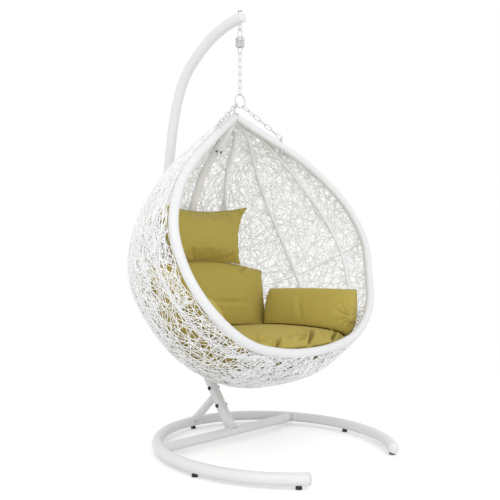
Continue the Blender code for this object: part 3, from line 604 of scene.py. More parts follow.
a = around(64)
eye = HANG + np.stack([0 * a, EYE_HALF_W * np.cos(a), EYE_Z + EYE_HALF_H * np.sin(a)], 1)
sweep("eye_loop", eye, EYE_R, chain_coat_painted_shade, "stand", 16, closed=True, node="eye_bolt")
threads = np.arange(EYE_Z + EYE_HALF_H - 0.001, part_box("eye_bolt")[1].z, 0.0005)
thread = SHANK_R + THREAD_DEEP * np.cos(threads * 2 * np.pi / THREAD_PITCH)
thread[-3:] -= THREAD_END
sweep("eye_shank", [HANG + (0, 0, z) for z in threads], thread, chain_coat_painted_shade, "stand")
nut_at = Matrix.Translation((0, HANG[1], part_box("eye_nut")[1].z - EYE_NUT[0][1] * MM))
lathe("eye_bolt_nut", EYE_NUT, nut_at, zinc, "stand", "eye_nut", 48, flats=(8.6, 17))
print("eye bolt shank of", round(threads[-1] - threads[0], 3), "m")

# %% [markdown]
# The spring is close wound, with a flat turn at each end for the drawbars' feet. It is made on the upper
# hanger's body and then loosed from it, with its place baked into its mesh.

# %% Drawbars and spring
COIL_LOW, COIL_HIGH, COIL_R, COIL_WIRE, COIL_TURNS, COIL_FLAT = 1.778, 1.8175, 0.0189, 0.0022, 4.7, 0.55
BAR_WIRE, LEG, GRIP = 0.0025, 0.012, 0.0028


def drawbar(level, body, sideways, bend_z, tip_z, sign):
    """A U of wire with its two feet turned outwards over the end of the coil."""
    long = sign * abs(bend_z - tip_z - sign * LEG)
    foot = [(0.0188, 0), (LEG + 0.0035, 0), (LEG + 0.0010, sign * 0.0008), (LEG, sign * 0.0032)]
    half = [(u, tip_z + z) for u, z in foot + [(LEG, f * long) for f in (0.2, 0.5, 0.8)]]
    quarter = np.linspace(0, math.pi / 2, 13)
    half += [(LEG * math.cos(a), bend_z + sign * LEG * (math.sin(a) - 1)) for a in quarter]
    line = [HANG + np.array(sideways) * u + (0, 0, z) for u, z in half + [(-u, z) for u, z in half[-2::-1]]]
    sweep(f"hanger_{level}_bar", line, BAR_WIRE, chain_coat_painted_shade, body, 16, node=f"{level}_drawbar")


upper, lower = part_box("upper_drawbar"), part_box("lower_drawbar")
drawbar("upper", "hanger_top", (1, 0, 0), upper[1].z - BAR_WIRE, COIL_LOW - GRIP, 1)
drawbar("lower", "hanger_low", (0, 1, 0), lower[0].z + BAR_WIRE, COIL_HIGH + GRIP, -1)

turns = np.linspace(0, COIL_TURNS + 2 * COIL_FLAT, 240)
a = 2 * np.pi * (turns - COIL_FLAT / 2 + 0.25)
climb = np.clip((turns - COIL_FLAT) / COIL_TURNS, 0, 1)
rise = COIL_LOW + COIL_WIRE + (COIL_HIGH - COIL_LOW - 2 * COIL_WIRE) * climb
helix = HANG + np.stack([COIL_R * np.cos(a), COIL_R * np.sin(a), rise], 1)
coil = sweep("spring_coil", helix, COIL_WIRE, chain_coat_painted_shade, "hanger_top", 12, node="coil_spring")
coil.parent = None
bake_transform(coil)
print("spring of", round(turns[-1], 1), "turns")

# %% [markdown]
# ## Chains
# Each link is a stadium of wire, welded at its middle, and turned a quarter from the last. The frame's own
# link gives its middle, its long direction and its flat side, so a rounder wire can be laid in its place.

# %% Chains and rings
LINK_WIRE, END_IN, SIDE_IN = 0.002, 0.90, 0.85     # the wire, and how far its middle lies in, in radii
SUSP_R, SUSP_WIRE = 0.031, 0.003


def axes_of(node):
    """The middle of a node, and its directions from the longest to the thinnest, with their half sizes."""
    co = np.unique(np.round([tuple(v.co) for v in nodes[node].data.vertices], 6), axis=0)
    rows = np.linalg.svd(co - co.mean(0))[2]
    low, high = (co @ rows.T).min(0), (co @ rows.T).max(0)
    return (low + high) / 2 @ rows, rows, (high - low) / 2


def link(node):
    centre, (long, wide, _), (half_long, half_wide, _) = axes_of(node)
    half_long, half_wide = half_long - LINK_WIRE * END_IN, half_wide - LINK_WIRE * SIDE_IN
    a = np.linspace(-np.pi / 2, np.pi / 2, 13)
    arc = np.stack([half_long - half_wide + half_wide * np.cos(a), half_wide * np.sin(a)], 1)
    loop = np.vstack([arc, -arc])
    line = centre + loop[:, :1] * long + loop[:, 1:] * wide
    name = node.replace("chain_link", "main_link").replace("_chain_", "_side_link_")
    sweep(name, line, LINK_WIRE, chain_coat_painted_shade, nodes[node]["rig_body"], 12, closed=True, node=node)


links = [node for node in sorted(nodes) if node.startswith("chain_link") or "_chain_" in node]
for node in links:
    link(node)
a = around(96)
ring = np.array(middle("suspension_ring")) + SUSP_R * np.stack([np.sin(a), 0 * a, -np.cos(a)], 1)
sweep("hanging_ring", ring, SUSP_WIRE, chain_coat_painted_shade, "basket", 16, closed=True, node="suspension_ring")
print(len(links), "links and a ring")

# %% [markdown]
# ## The basket's shape
# The frame of the basket is a front rim, a keel down the middle of the back, and three ribs on each side
# that leave a collar at the top like the segments of an orange and meet again under the seat. Level cuts
# through it are rounded squares, so a few stations of the rim and the keel and one power give every point.

# %% Rim, keel and level cuts
RIM = [(0, -0.017, 1.459), (0.133, -0.083, 1.379), (0.271, -0.155, 1.291), (0.407, -0.210, 1.189),
       (0.524, -0.260, 1.064), (0.588, -0.310, 0.907), (0.560, -0.356, 0.738), (0.477, -0.413, 0.591),
       (0.339, -0.444, 0.485), (0.170, -0.455, 0.441), (0, -0.460, 0.430)]
KEEL = [(-0.017, 1.459), (0.061, 1.369), (0.202, 1.222), (0.284, 1.040), (0.297, 0.8385), (0.2465, 0.647),
        (0.129, 0.482), (-0.015, 0.345), (-0.197, 0.284), (-0.389, 0.340), (-0.460, 0.430)]
SQUARENESS = 2.65


def rim_at(t):
    return at_depth(through(RIM, t, last=(-RIM[-2][0], RIM[-2][1], RIM[-2][2])))


def keel_at(t):
    yz = through(KEEL, t)
    return at_depth(np.column_stack([np.zeros(len(yz)), yz]))


def cut(t, phi):
    """A cut's right half, at t from 0 above to 1 below, from the rim at phi 0 to the keel at pi / 2."""
    c, s = np.cos(phi).clip(0) ** (2 / SQUARENESS), np.sin(phi).clip(0) ** (2 / SQUARENESS)
    rim, keel = rim_at(t)[0], keel_at(t)[0]
    return np.stack([rim[0] * c, rim[1] + (keel[1] - rim[1]) * s, rim[2] + (keel[2] - rim[2]) * s], -1)


def section(t, count=240):
    """The points of a cut's right half, closer together at its ends, and the lengths at which they lie."""
    u = np.linspace(0, 1, count)
    points = cut(t, math.pi / 2 * (3 * u ** 2 - 2 * u ** 3))
    return points, length_along(points)


print("basket", round(2 * rim_at(np.linspace(0, 1, 99))[:, 0].max(), 3), "m wide between its rims")

# %% [markdown]
# One table of evenly spaced surface points serves the hoop, the strands and the cushions alike. Beside it
# stand the directions down the wall, across it and out of it.

# %% The wall as a grid of points
T_COUNT, HALF_COUNT = 161, 60
grid_t = np.linspace(0.012, 0.988, T_COUNT)


def level(t):
    """Points from the left rim over the keel to the right rim."""
    points, run = section(t)
    half = at_lengths(points, run, np.linspace(0, run[-1], HALF_COUNT + 1))
    return np.vstack([half * (-1, 1, 1), half[-2::-1]])


def read(table, t, u):
    """A table's values at t from 0 to 1 down the wall and u from -1 at the left rim to 1 at the right rim."""
    row = np.clip((t - grid_t[0]) / (grid_t[-1] - grid_t[0]), 0, 1) * (T_COUNT - 1.001)
    col = np.clip((u + 1) * HALF_COUNT, 0, 2 * HALF_COUNT - 0.001)
    i, k = row.astype(int), col.astype(int)
    f, g = (row - i)[:, None], (col - k)[:, None]
    return ((table[i, k] * (1 - f) + table[i + 1, k] * f) * (1 - g)
            + (table[i, k + 1] * (1 - f) + table[i + 1, k + 1] * f) * g)


wall = np.array([level(t) for t in grid_t])
down = np.gradient(wall, axis=0) * (T_COUNT - 1)
over = np.gradient(wall, axis=1) * HALF_COUNT
normal = unit(np.cross(over, down))
if ((wall - wall.reshape(-1, 3).mean(0)) * normal).sum() < 0:
    normal = -normal
area = np.linalg.norm(np.cross(over, down), axis=2).mean() * 2
print("woven wall", round(area, 2), "square metres")

# %% [markdown]
# ## Wound frame
# The rim, the keel and the ribs are steel tubes wound with the same strand as the wall, turn beside turn.
# At the top of the rim the two windings meet, and a thin black ring laid in the gap between them is painted
# shadow.

# %% Rim and keel
RIM_R, KEEL_R, GAP_SHADOW_R, GAP_SHADOW_OUT = 0.0185, 0.0175, 0.0009, 0.0004
every = np.linspace(0, 1, 200)
right = rim_at(every)
rim_line, rim_radius = wound(np.vstack([right, (right * (-1, 1, 1))[-2:0:-1]]), RIM_R, closed=True)
# The rim wears the darkest tone of the strand: painted shade.
sweep("wound_rim", rim_line, rim_radius, rim_plastic_painted_shade, "basket", closed=True, node="front_rim")
a = around(40)
# Painted shadow: a thin ring in the black rubber finish round the rim's top, where the gap between the
# windings is dark with shade.
joint = rim_at(0)[0] + (RIM_R + GAP_SHADOW_OUT) * np.stack([0 * a, np.cos(a), np.sin(a)], 1)
sweep("rim_gap_painted_shadow", joint, GAP_SHADOW_R, rubber, "basket", 8, closed=True)
keel_line, keel_radius = wound(keel_at(np.linspace(0.004, 0.996, 200)), KEEL_R)
sweep("wound_keel", keel_line, keel_radius, wound_plastic_painted_shade, "basket", 18, node="keel")
print("rim and keel of", [round(length_along(line)[-1], 2) for line in (rim_line, keel_line)], "m")

# %% [markdown]
# The ribs keep their angle on the way down, and two collars tie them together at the top and under the
# seat. A thin hoop runs outside them at the waist. Each side is one object, as one rib fan of the frame.

# %% Ribs, collars and waist hoop
RIB_R, HOOP_R, COLLAR_R = 0.009, 0.003, 0.008
RIB_ANGLES, COLLAR_T, HOOP_T, HOOP_OUT = (8.4, 34.7, 67.5), (0.058, 0.942), 0.5, 0.0115
RIM_CLEAR = RIM_R + RIB_R + 0.0015
RIB_POINTS, HOOP_POINTS = 90, 120


def rib_point(t, angle):
    """A rib keeps its angle, but stays clear of the rim where the basket narrows."""
    points, run = section(t)
    p = cut(t, np.radians(angle))
    if run[np.linalg.norm(points - p, axis=1).argmin()] < RIM_CLEAR:
        p = at_lengths(points, run, [RIM_CLEAR])[0]
    return p


def wound_bar(name, points, radius):
    line, ridged = wound(points, radius)
    return sweep(name, line, ridged, wound_plastic_painted_shade, "basket", 12)


def joined(objects, name):
    """Several pieces as one object."""
    bpy.context.view_layer.update()
    with bpy.context.temp_override(active_object=objects[0], object=objects[0], selected_objects=objects,
                                   selected_editable_objects=objects):
        bpy.ops.object.join()
    objects[0].name = name
    return objects[0]


for side, sign in (("left", -1), ("right", 1)):
    mirror = (sign, 1, 1)
    parts = [wound_bar("rib", [rib_point(t, angle) * mirror for t in np.linspace(*COLLAR_T, RIB_POINTS)],
                       RIB_R)
             for angle in RIB_ANGLES]
    parts += [wound_bar("collar", section(t)[0][::6] * mirror, COLLAR_R) for t in COLLAR_T]
    t, u = np.full(HOOP_POINTS, HOOP_T), np.linspace(0.015, 1, HOOP_POINTS) * sign
    hoop = read(wall, t, u) + HOOP_OUT * read(normal, t, u)
    parts.append(sweep("hoop", hoop, HOOP_R, strand_plastic_painted_light, "basket", 10))
    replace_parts(joined(parts, f"wound_ribs_{side}"), f"rib_fan_{side}")
    print("side of", len(parts), "bars, waist hoop", round(length_along(hoop)[-1], 2), "m long")

# %% [markdown]
# ## The random weave
# The maker pulls strand after strand across the frame in every direction, bending each a little, until the
# wall is closed. The same is done here: each strand starts somewhere on the wall, walks on in short steps
# with a slowly changing bend, and turns back where it reaches the rim or an end.

# %% Walk the strands
STEP, BEND_RUN = 0.0125, 0.06                # length of a step, and the run over which a bend changes
STRAND_OUT = 0.0165                          # from the ribs' centres out to the middle of the woven layer
LAYER, WANDER = 0.0016, 0.0012               # how far strands lie apart in depth, and how far one weaves
PACE = (25, 60)                              # how fast it weaves in and out, in radians to the metre
OVER_KEEL, TURNED_BACK = 0.0025, 0.3         # gap over the keel, and the bend that is left after an edge


def walk(t, u, heading, steps, bend, t_range, u_range):
    """Walks a strand from each place on the wall. Returns all their points, outward directions and places."""
    count, kept = len(t), []
    tangent = unit(read(over, t, u)) * np.cos(heading)[:, None]
    tangent = tangent + unit(read(down, t, u)) * np.sin(heading)[:, None]
    curl = rng.normal(0, bend, count)
    phase, pace = rng.uniform(0, 2 * np.pi, count), rng.uniform(*PACE, count)
    depth = STRAND_OUT + rng.uniform(-LAYER, LAYER, count)
    for n in range(steps):
        there, outward = read(wall, t, u), unit(read(normal, t, u))
        lift = depth + WANDER * np.sin(phase + pace * n * STEP)
        hump = np.sqrt(np.clip((KEEL_R + OVER_KEEL) ** 2 - there[:, 0] ** 2, 0, None))
        lift = np.maximum(lift, hump + 0.3 * (lift - STRAND_OUT))
        kept.append((there + outward * lift[:, None], outward, np.column_stack([t, u])))
        tangent = unit(tangent - outward * (tangent * outward).sum(1, keepdims=True))
        curl += (-curl * STEP / BEND_RUN) + rng.normal(0, bend * math.sqrt(2 * STEP / BEND_RUN), count)
        tangent = tangent + np.cross(outward, tangent) * (curl * STEP)[:, None]
        a, b = read(down, t, u), read(over, t, u)
        aa, bb, ab = (a * a).sum(1), (b * b).sum(1), (a * b).sum(1)
        ta, tb = (a * tangent).sum(1), (b * tangent).sum(1)
        det = aa * bb - ab * ab
        dt, du = (bb * ta - ab * tb) / det * STEP, (aa * tb - ab * ta) / det * STEP
        for move, where, (low, high), edge in ((du, u, u_range, a), (dt, t, t_range, b)):
            leaving = ((where + move < low) & (move < 0)) | ((where + move > high) & (move > 0))
            back = unit(np.cross(outward, edge))[leaving]
            tangent[leaving] -= 2 * back * (tangent[leaving] * back).sum(1, keepdims=True)
            move[leaving] *= -1
            curl[leaving] *= TURNED_BACK
        t, u = t + dt, u + du
    return [np.array(column).swapaxes(0, 1) for column in zip(*kept)]


def scattered(count, t_range, u_range):
    """Starting places spread evenly over the wall's real area."""
    t, u = rng.uniform(*t_range, count * 4), rng.uniform(*u_range, count * 4)
    size = np.linalg.norm(np.cross(read(over, t, u), read(down, t, u)), axis=1)
    keep = rng.uniform(0, size.max(), count * 4) < size
    return t[keep][:count], u[keep][:count]


# %% [markdown]
# Strands laid down blindly leave holes and thick spots, which a maker would fill or avoid. So many more are
# walked than are kept: each time, a few are held up, and the one that crosses the emptiest patches stays.

# %% Keep the weave even
PATCH, CHOICE, SAMPLES = 0.018, 10, 150000   # size of a patch, strands to choose among, measuring points
OPEN_AT, OPEN_SIZE, OPEN_BY = (0.68, 0.88), (0.21, 0.15), 0.56       # down the wall and towards the rim
TOP_DENSER = 0.25


def wanted(t, u):
    """How closely the wall is filled here. It is more open on the two sides, just behind the rim."""
    below, aside = (t - OPEN_AT[0]) / OPEN_SIZE[0], (np.abs(u) - OPEN_AT[1]) / OPEN_SIZE[1]
    return 1 - OPEN_BY * np.exp(-aside ** 4) * np.exp(-below ** 4) + TOP_DENSER * np.clip(1.8 - 4 * t, 0, 1)


def evened(walked, keep):
    """Keeps this many of the strands, and returns them as `walk` does."""
    t, u = scattered(SAMPLES, (0, 1), (-1, 1))
    spots = read(wall, t, u) + STRAND_OUT * read(normal, t, u)
    cells = np.floor(np.vstack([walked[0].reshape(-1, 3), spots]) / PATCH).astype(int)
    patch = np.unique(cells, axis=0, return_inverse=True)[1].ravel()
    room = 1 + np.bincount(patch[-len(spots):], wanted(t, u), patch.max() + 1)
    patch = patch[:-len(spots)].reshape(walked[0].shape[:2])
    filled, left, chosen = np.zeros(len(room)), list(range(len(patch))), []
    for _ in range(keep):
        few = rng.choice(left, CHOICE, replace=False)
        best = few[(filled[patch[few]] / room[patch[few]]).mean(1).argmin()]
        np.add.at(filled, patch[best], 1)
        left.remove(best)
        chosen.append(best)
    return [column[chosen] for column in walked]


# %% [markdown]
# Most strands run anywhere. Some follow the two halves of the rim and the keel, where the real ones are
# anchored, and some close the wall where it narrows, below and at the top.

# %% Strands of this basket
WHOLE = (-0.985, 0.985)
bundles = []
for count, keep, steps, t_range, u_range, follow, bend in (
        (1500, 580, 96, (0.03, 0.978), WHOLE, False, 15.0),
        (10, 10, 110, (0.03, 0.975), (0.86, 0.988), True, 4.0),
        (10, 10, 110, (0.03, 0.975), (-0.988, -0.86), True, 4.0),
        (18, 18, 90, (0.05, 0.975), (-0.10, 0.10), True, 5.0),
        (30, 30, 60, (0.80, 0.978), WHOLE, False, 10.0),
        (16, 16, 40, (0.03, 0.16), WHOLE, False, 10.0)):
    t, u = scattered(count, t_range, u_range)
    heading = rng.uniform(0, 2 * np.pi, len(t))
    if follow:
        heading = rng.choice([-1, 1], len(t)) * np.pi / 2 + rng.normal(0, 0.16, len(t))
    walked = walk(t, u, heading, steps, bend, t_range, u_range)
    bundles.append(evened(walked, keep) if keep < len(t) else walked)
total = sum(len(p) * (p.shape[1] - 1) * STEP for p, _, _ in bundles)
print("strands", sum(len(p) for p, _, _ in bundles), "of", round(total), "m in all")

# %% [markdown]
# The paths become round strands. They are all made at once with arrays, because a loop over some sixty
# thousand short lengths of strand would be slow.

# %% Strands as meshes
STRAND_R, UNLIKE, STRAND_SIDES, SHARES = 0.0014, 0.12, 5, 3


def strand_mesh(name, sign, share, node):
    """One share of the strands whose middle lies on this side, as one mesh of thin round bars."""
    verts, faces, runs, base = [], [], [], 0
    for points, outward, _ in bundles:
        mine = (points[:, points.shape[1] // 2, 0] * sign >= 0) & (np.arange(len(points)) % SHARES == share)
        points, outward = points[mine], outward[mine]
        count, steps = points.shape[:2]
        ahead = unit(np.gradient(points, axis=1))
        side = unit(np.cross(ahead, outward))
        up = np.cross(side, ahead)
        thick = STRAND_R * rng.uniform(1 - UNLIKE, 1 + UNLIKE, count)[:, None, None]
        rings = [points + thick * (side * math.cos(a) + up * math.sin(a)) for a in around(STRAND_SIDES)]
        verts.append(np.stack(rings, 2).reshape(-1, 3))
        runs.append(np.tile(np.repeat(np.arange(steps) * STEP, STRAND_SIDES), count))
        first = base + np.arange(count)[:, None, None] * steps * STRAND_SIDES
        here, k = first + np.arange(steps - 1)[:, None] * STRAND_SIDES, np.arange(STRAND_SIDES)
        k2 = (k + 1) % STRAND_SIDES
        quads = np.stack([here + k, here + k2, here + STRAND_SIDES + k2, here + STRAND_SIDES + k], -1)
        ends = (first[:, 0] + k, (first[:, 0] + (steps - 1) * STRAND_SIDES + k)[:, ::-1])
        faces += quads.reshape(-1, 4)[:, ::-1].tolist() + ends[0].tolist() + ends[1].tolist()
        base += count * steps * STRAND_SIDES
    return solid(name, np.vstack(verts), faces, strand_plastic_painted_light, "basket", node, np.concatenate(runs))


for side, sign in (("left", -1), ("right", 1)):
    for share in range(SHARES):
        woven = strand_mesh(f"woven_strands_{side}_{share + 1}", sign, share, f"weave_{side}")
        print(woven.name, len(woven.data.polygons), "faces")

# %% [markdown]
# ## U-bolts
# A U-bolt through the rim holds each side chain, and one through the keel holds the rear chain. Each has a
# saddle plate and two hexagon nuts under its tube. The two nuts on the keel are dark.

# %% U-bolts
U_WIRE, U_LEG, NUT_DOWN = 0.003, 0.02, 0.0056
PLATE_UP, PLATE_SIZE, PLATE_BEVEL = 0.0175, (0.014, 0.013, 0.0022), 0.0006
NUT = [(3.1, 5.2), (5, 5.2), (5.8, 4.6), (5.8, 0.6), (5, 0), (3.1, 0)]
UP = Vector((0, 0, 1))


def saddle(name, centre, aside, half, node):
    """A small bevelled plate across the tube, which both legs of the U pass through."""
    shape = bmesh.new()
    turned_to = Matrix((aside, UP.cross(aside), UP)).transposed().to_4x4()
    size = Matrix.Diagonal((2 * half + PLATE_SIZE[0], PLATE_SIZE[1], PLATE_SIZE[2], 1))
    bmesh.ops.create_cube(shape, size=1, matrix=Matrix.Translation(centre) @ turned_to @ size)
    bmesh.ops.bevel(shape, geom=shape.edges, offset=PLATE_BEVEL, segments=2, affect="EDGES")
    solid(name, [v.co for v in shape.verts], [[v.index for v in f.verts] for f in shape.faces], chain_coat_painted_shade,
          "basket", node)
    shape.free()


for name, half, finish in (("left", 0.0105, zinc), ("right", 0.0105, zinc), ("rear", 0.0135, dark_steel)):
    node = f"u_bolt_{name}"
    low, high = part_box(node)
    centre, aside = (low + high) / 2, Vector((1, 0, 0))
    if name != "rear":
        near = np.linalg.norm(rim_line[:, :2] - (centre.x, centre.y), axis=1).argmin()
        way = rim_line[(near + 6) % len(rim_line)] - rim_line[near]
        aside = Vector((-way[1], way[0], 0)).normalized()
    leg, top = [(half, low.z), (half, low.z + U_LEG)], high.z - U_WIRE - half
    bow = [(half * math.cos(b), top + half * math.sin(b)) for b in np.linspace(0, math.pi, 15)]
    outline = leg + bow + [(-out, z) for out, z in leg[::-1]]
    line = [Vector((centre.x, centre.y, z)) + aside * out for out, z in outline]
    sweep(f"u_wire_{name}", line, U_WIRE, chain_coat_painted_shade, "basket", 14, node=node)
    for number, foot in enumerate((line[0], line[-1])):
        nut_at = Matrix.Translation((foot.x, foot.y, low.z + PLATE_UP - NUT_DOWN))
        lathe(f"u_nut_{name}_{number + 1}", NUT, nut_at, finish, "basket", node, 36, flats=(0, 5.2))
    saddle(f"u_plate_{name}", Vector((centre.x, centre.y, low.z + PLATE_UP + 0.001)), aside, half, node)
    print(name, "U-bolt", round(high.z - low.z, 3), "m high")

# %% [markdown]
# ## What the cushions lie against
# A cushion fills the room it is given: it stops at the ribs, at the rim, at the keel and at the cushions
# that were put in before it. `pressed` moves a point of cloth back to the nearest of those surfaces.

# %% Room for a cushion
CLOTH_GAP, DEEP = 0.0015, 0.06               # cloth to cloth, and how deep a point in a cushion is looked for
WALL_FACING, CLOTH_FACING = -0.5, -0.7       # a point is behind a surface if it lies this squarely behind it
row = 2 * HALF_COUNT + 1
corners = (np.arange(T_COUNT - 1)[:, None] * row + np.arange(row - 1)).reshape(-1, 1) + (0, row, row + 1, 1)
inner = (wall - normal * (RIB_R + 0.002)).reshape(-1, 3)
wall_inside = BVHTree.FromPolygons([Vector(v) for v in inner], corners.tolist())
inward = 1 if wall_inside.find_nearest(Vector((0, 0.3, 0.8)))[1].y < 0 else -1
tubes, made = [], []
for line, radius in ((rim_line, RIM_R + CLOTH_GAP), (keel_line, KEEL_R + CLOTH_GAP)):
    tree = KDTree(len(line))
    for n, point in enumerate(line):
        tree.insert(point, n)
    tree.balance()
    tubes.append((tree, radius))


def pressed(p):
    """The point, moved back inside the basket and out of the rim, the keel and the cushions already made."""
    spot, facing, _, far = wall_inside.find_nearest(p)
    if (p - spot).dot(facing) * inward < WALL_FACING * far:
        p = spot.copy()
    for tree, radius in tubes:
        near, _, far = tree.find(p)
        if far < radius:
            p = near + (p - near) * (radius / far)
    for tree in made:
        spot, facing, _, far = tree.find_nearest(p)
        if far < CLOTH_GAP or (far < DEEP and (p - spot).dot(facing) < CLOTH_FACING * far):
            p = spot + facing * CLOTH_GAP
    return p


def pressed_all(panels):
    return np.array([pressed(Vector(v)) for v in panels.reshape(-1, 3)]).reshape(panels.shape)


print("room for cushions, walls of", len(corners), "patches")

# %% [markdown]
# ## Cushions
# A cushion is two panels of cloth sewn round their edge and stuffed. Each panel is a grid, crowned in the
# middle, pulled in along its sides so that the corners stand out as ears, and bent to lie along the wall.
# It is pressed into its room and eased by averaging, a cloth simulation with air pressure puckers it, and
# the folds and tufts of the photograph are pressed in on a finer grid.

# %% Panels of cloth
CROWDED, EVEN = 0.55, 0.45


def spread(count):
    """Stations from -1 to 1 that crowd towards both ends, where the cloth turns over."""
    s = np.linspace(-1, 1, count + 1)
    return np.sin(math.pi / 2 * s) * CROWDED + s * EVEN


def eased(panels, times):
    """Each point drawn halfway to the middle of its neighbours; the seam's points stay on its line."""
    for _ in range(times):
        before = panels.copy()
        mean = (before[:, 2:, 1:-1] + before[:, :-2, 1:-1] + before[:, 1:-1, 2:] + before[:, 1:-1, :-2]) / 4
        panels[:, 1:-1, 1:-1] = (before[:, 1:-1, 1:-1] + mean) / 2
        for edge in (np.s_[:, 0], np.s_[:, -1], np.s_[:, :, 0], np.s_[:, :, -1]):
            line = before[edge]
            panels[edge][:, 1:-1] = line[:, 1:-1] / 2 + (line[:, 2:] + line[:, :-2]) / 4
    return panels


def finer(panel):
    """The panel with a new row and column between each pair, on a smooth curve through its points."""
    for axis in (0, 1):
        g = np.moveaxis(panel, axis, 0)
        wide = np.concatenate([2 * g[:1] - g[1:2], g, 2 * g[-1:] - g[-2:-1]])
        out = np.empty((2 * len(g) - 1,) + g.shape[1:])
        out[::2] = g
        out[1::2] = (9 * (wide[1:-2] + wide[2:-1]) - wide[:-3] - wide[3:]) / 16
        panel = np.moveaxis(out, 0, axis)
    return panel


def sewn(panels):
    """The panels as one closed mesh that shares its seam: points, faces and the seam's points in order."""
    rows, cols = panels.shape[1:3]
    front = np.arange(rows * cols).reshape(rows, cols)
    back = front.copy()
    back[1:-1, 1:-1] = rows * cols + np.arange((rows - 2) * (cols - 2)).reshape(rows - 2, cols - 2)
    verts = np.vstack([panels[0].reshape(-1, 3), panels[1][1:-1, 1:-1].reshape(-1, 3)])
    faces = []
    for index, turn in ((front, 1), (back, -1)):
        ring = np.stack([index[:-1, :-1], index[1:, :-1], index[1:, 1:], index[:-1, 1:]], -1).reshape(-1, 4)
        faces += ring[:, ::turn].tolist()
    seam = np.concatenate([front[:-1, 0], front[-1, :-1], front[:0:-1, -1], front[0, :0:-1]])
    return verts, faces, seam


# %% [markdown]
# Air pressure rounds the cover, and a little surplus cloth makes it pucker. The seam is held, gravity is
# off, and no point may move further than the puff allows, so the cushion stays in its room.

# %% Inflate
PRESSURE, SURPLUS, FRAMES, PUFF, BENDING, QUALITY = 3.0, 0.035, 14, 0.009, 0.3, 5


def inflated(panels):
    verts, faces, seam = sewn(panels)
    mesh = bpy.data.meshes.new("loose_cover")
    mesh.from_pydata(verts.tolist(), [], faces)
    obj = bpy.data.objects.new("loose_cover", mesh)
    chair.objects.link(obj)
    obj.vertex_groups.new(name="seam").add([int(n) for n in seam], 1.0, "REPLACE")
    sim = obj.modifiers.new("cloth", "CLOTH").settings
    sim.vertex_group_mass, sim.use_pressure = "seam", True
    sim.uniform_pressure_force, sim.shrink_min = PRESSURE, -SURPLUS
    sim.effector_weights.gravity = 0
    sim.bending_stiffness, sim.quality = BENDING, QUALITY
    for n in range(1, FRAMES + 1):
        bpy.context.scene.frame_set(n)
    shaped = obj.evaluated_get(bpy.context.evaluated_depsgraph_get()).data
    co = np.zeros(len(verts) * 3, np.float32)
    shaped.vertices.foreach_get("co", co)
    co = co.reshape(-1, 3).astype(float)
    bpy.context.scene.frame_set(1)
    bpy.data.objects.remove(obj, do_unlink=True)
    rows, cols = panels.shape[1:3]
    moved = panels.copy()
    moved[0] = co[:rows * cols].reshape(rows, cols, 3)
    moved[1, 1:-1, 1:-1] = co[rows * cols:].reshape(rows - 2, cols - 2, 3)
    moved -= panels
    far = np.linalg.norm(moved, axis=-1, keepdims=True)
    return panels + moved * np.minimum(1, PUFF / np.maximum(far, 1e-9))


# %% [markdown]
# Thread pulls the cloth in: in small puckers beside the seam, round each tuft and from a gathered end. The
# stuffing leaves soft dents, and long folds run where the cushion is bent.

# %% Folds, tufts and puckers
PUCKER, PUCKER_EVERY, PUCKER_IN, PUCKER_WIDE = 0.0018, 0.037, 0.016, 0.014
DENT, DENT_IN, LIP, LIP_OUT = 0.004, 0.05, 0.35, 2.2


def rays_from(x, y, at_x, at_y):
    return np.hypot(x - at_x, y - at_y), np.arctan2(y - at_y, x - at_x)


def folded(a, b, x, y, size, tufts, folds, gathers):
    """How deep each point of the panels is pressed in. Tufts, folds and gathers are on the front alone."""
    side, end = (1 - np.abs(a)) * size[0] / 2, (1 - np.abs(b)) * size[1] / 2
    from_seam, along_seam = np.minimum(side, end), np.where(side < end, y, x)
    gather = np.sin(along_seam * 2 * np.pi / PUCKER_EVERY + 2.2 * np.sin(along_seam * 11)) * 0.5 + 0.5
    dents = np.sin(x * 12 + 1.3 * np.sin(y * 9)) * np.sin(y * 15 + 0.8 + 1.1 * np.sin(x * 7)) * 0.5 + 0.5
    base = (PUCKER * gather * np.exp(-((from_seam - PUCKER_IN) / PUCKER_WIDE) ** 2)
            + DENT * dents * np.clip(from_seam / DENT_IN, 0, 1))
    front = base.copy()
    for tx, ty, deep, wide in tufts:
        far, turn = rays_from(x, y, tx, ty)
        rays = (0.5 + 0.5 * np.cos(turn * 6 + 0.7)) ** 2
        front += deep * (0.7 * np.exp(-far / wide) + 0.35 * rays * np.exp(-far / (3 * wide)))
    for fx, fy, angle, length, deep, wide in folds:
        c, s = math.cos(math.radians(angle)), math.sin(math.radians(angle))
        lengthwise, sideways = (x - fx) * c + (y - fy) * s, -(x - fx) * s + (y - fy) * c
        sideways = sideways - 0.05 * lengthwise * np.sin(lengthwise * 20)
        fade = np.clip(1 - np.abs(lengthwise) / (length / 2), 0, 1) ** 0.6
        lips = np.exp(-((np.abs(sideways) - LIP_OUT * wide) / wide) ** 2)
        front += deep * fade * (np.exp(-(sideways / wide) ** 2) - LIP * lips)
    for gx, gy, reach, deep, number in gathers:
        far, turn = rays_from(x, y, gx, gy)
        rays = np.cos(turn * number + 1.5 * np.sin(turn * 3)) * 0.5 + 0.5
        front += deep * rays ** 2 * np.clip(1 - far / reach, 0, 1) * np.clip(far / 0.02, 0, 1)
    return np.array([front, base])


# %% [markdown]
# One recipe makes all five cushions. A plan gives the outline of the panels, with their round ends, ears,
# taper and arch, the crown gives their thickness, and a line of thread is laid along the finished seam.

# %% Sew a cushion
SEAM_R, SEAM_DROP = 0.0016, 0.0005           # the seam's thread, and how close is too close on it


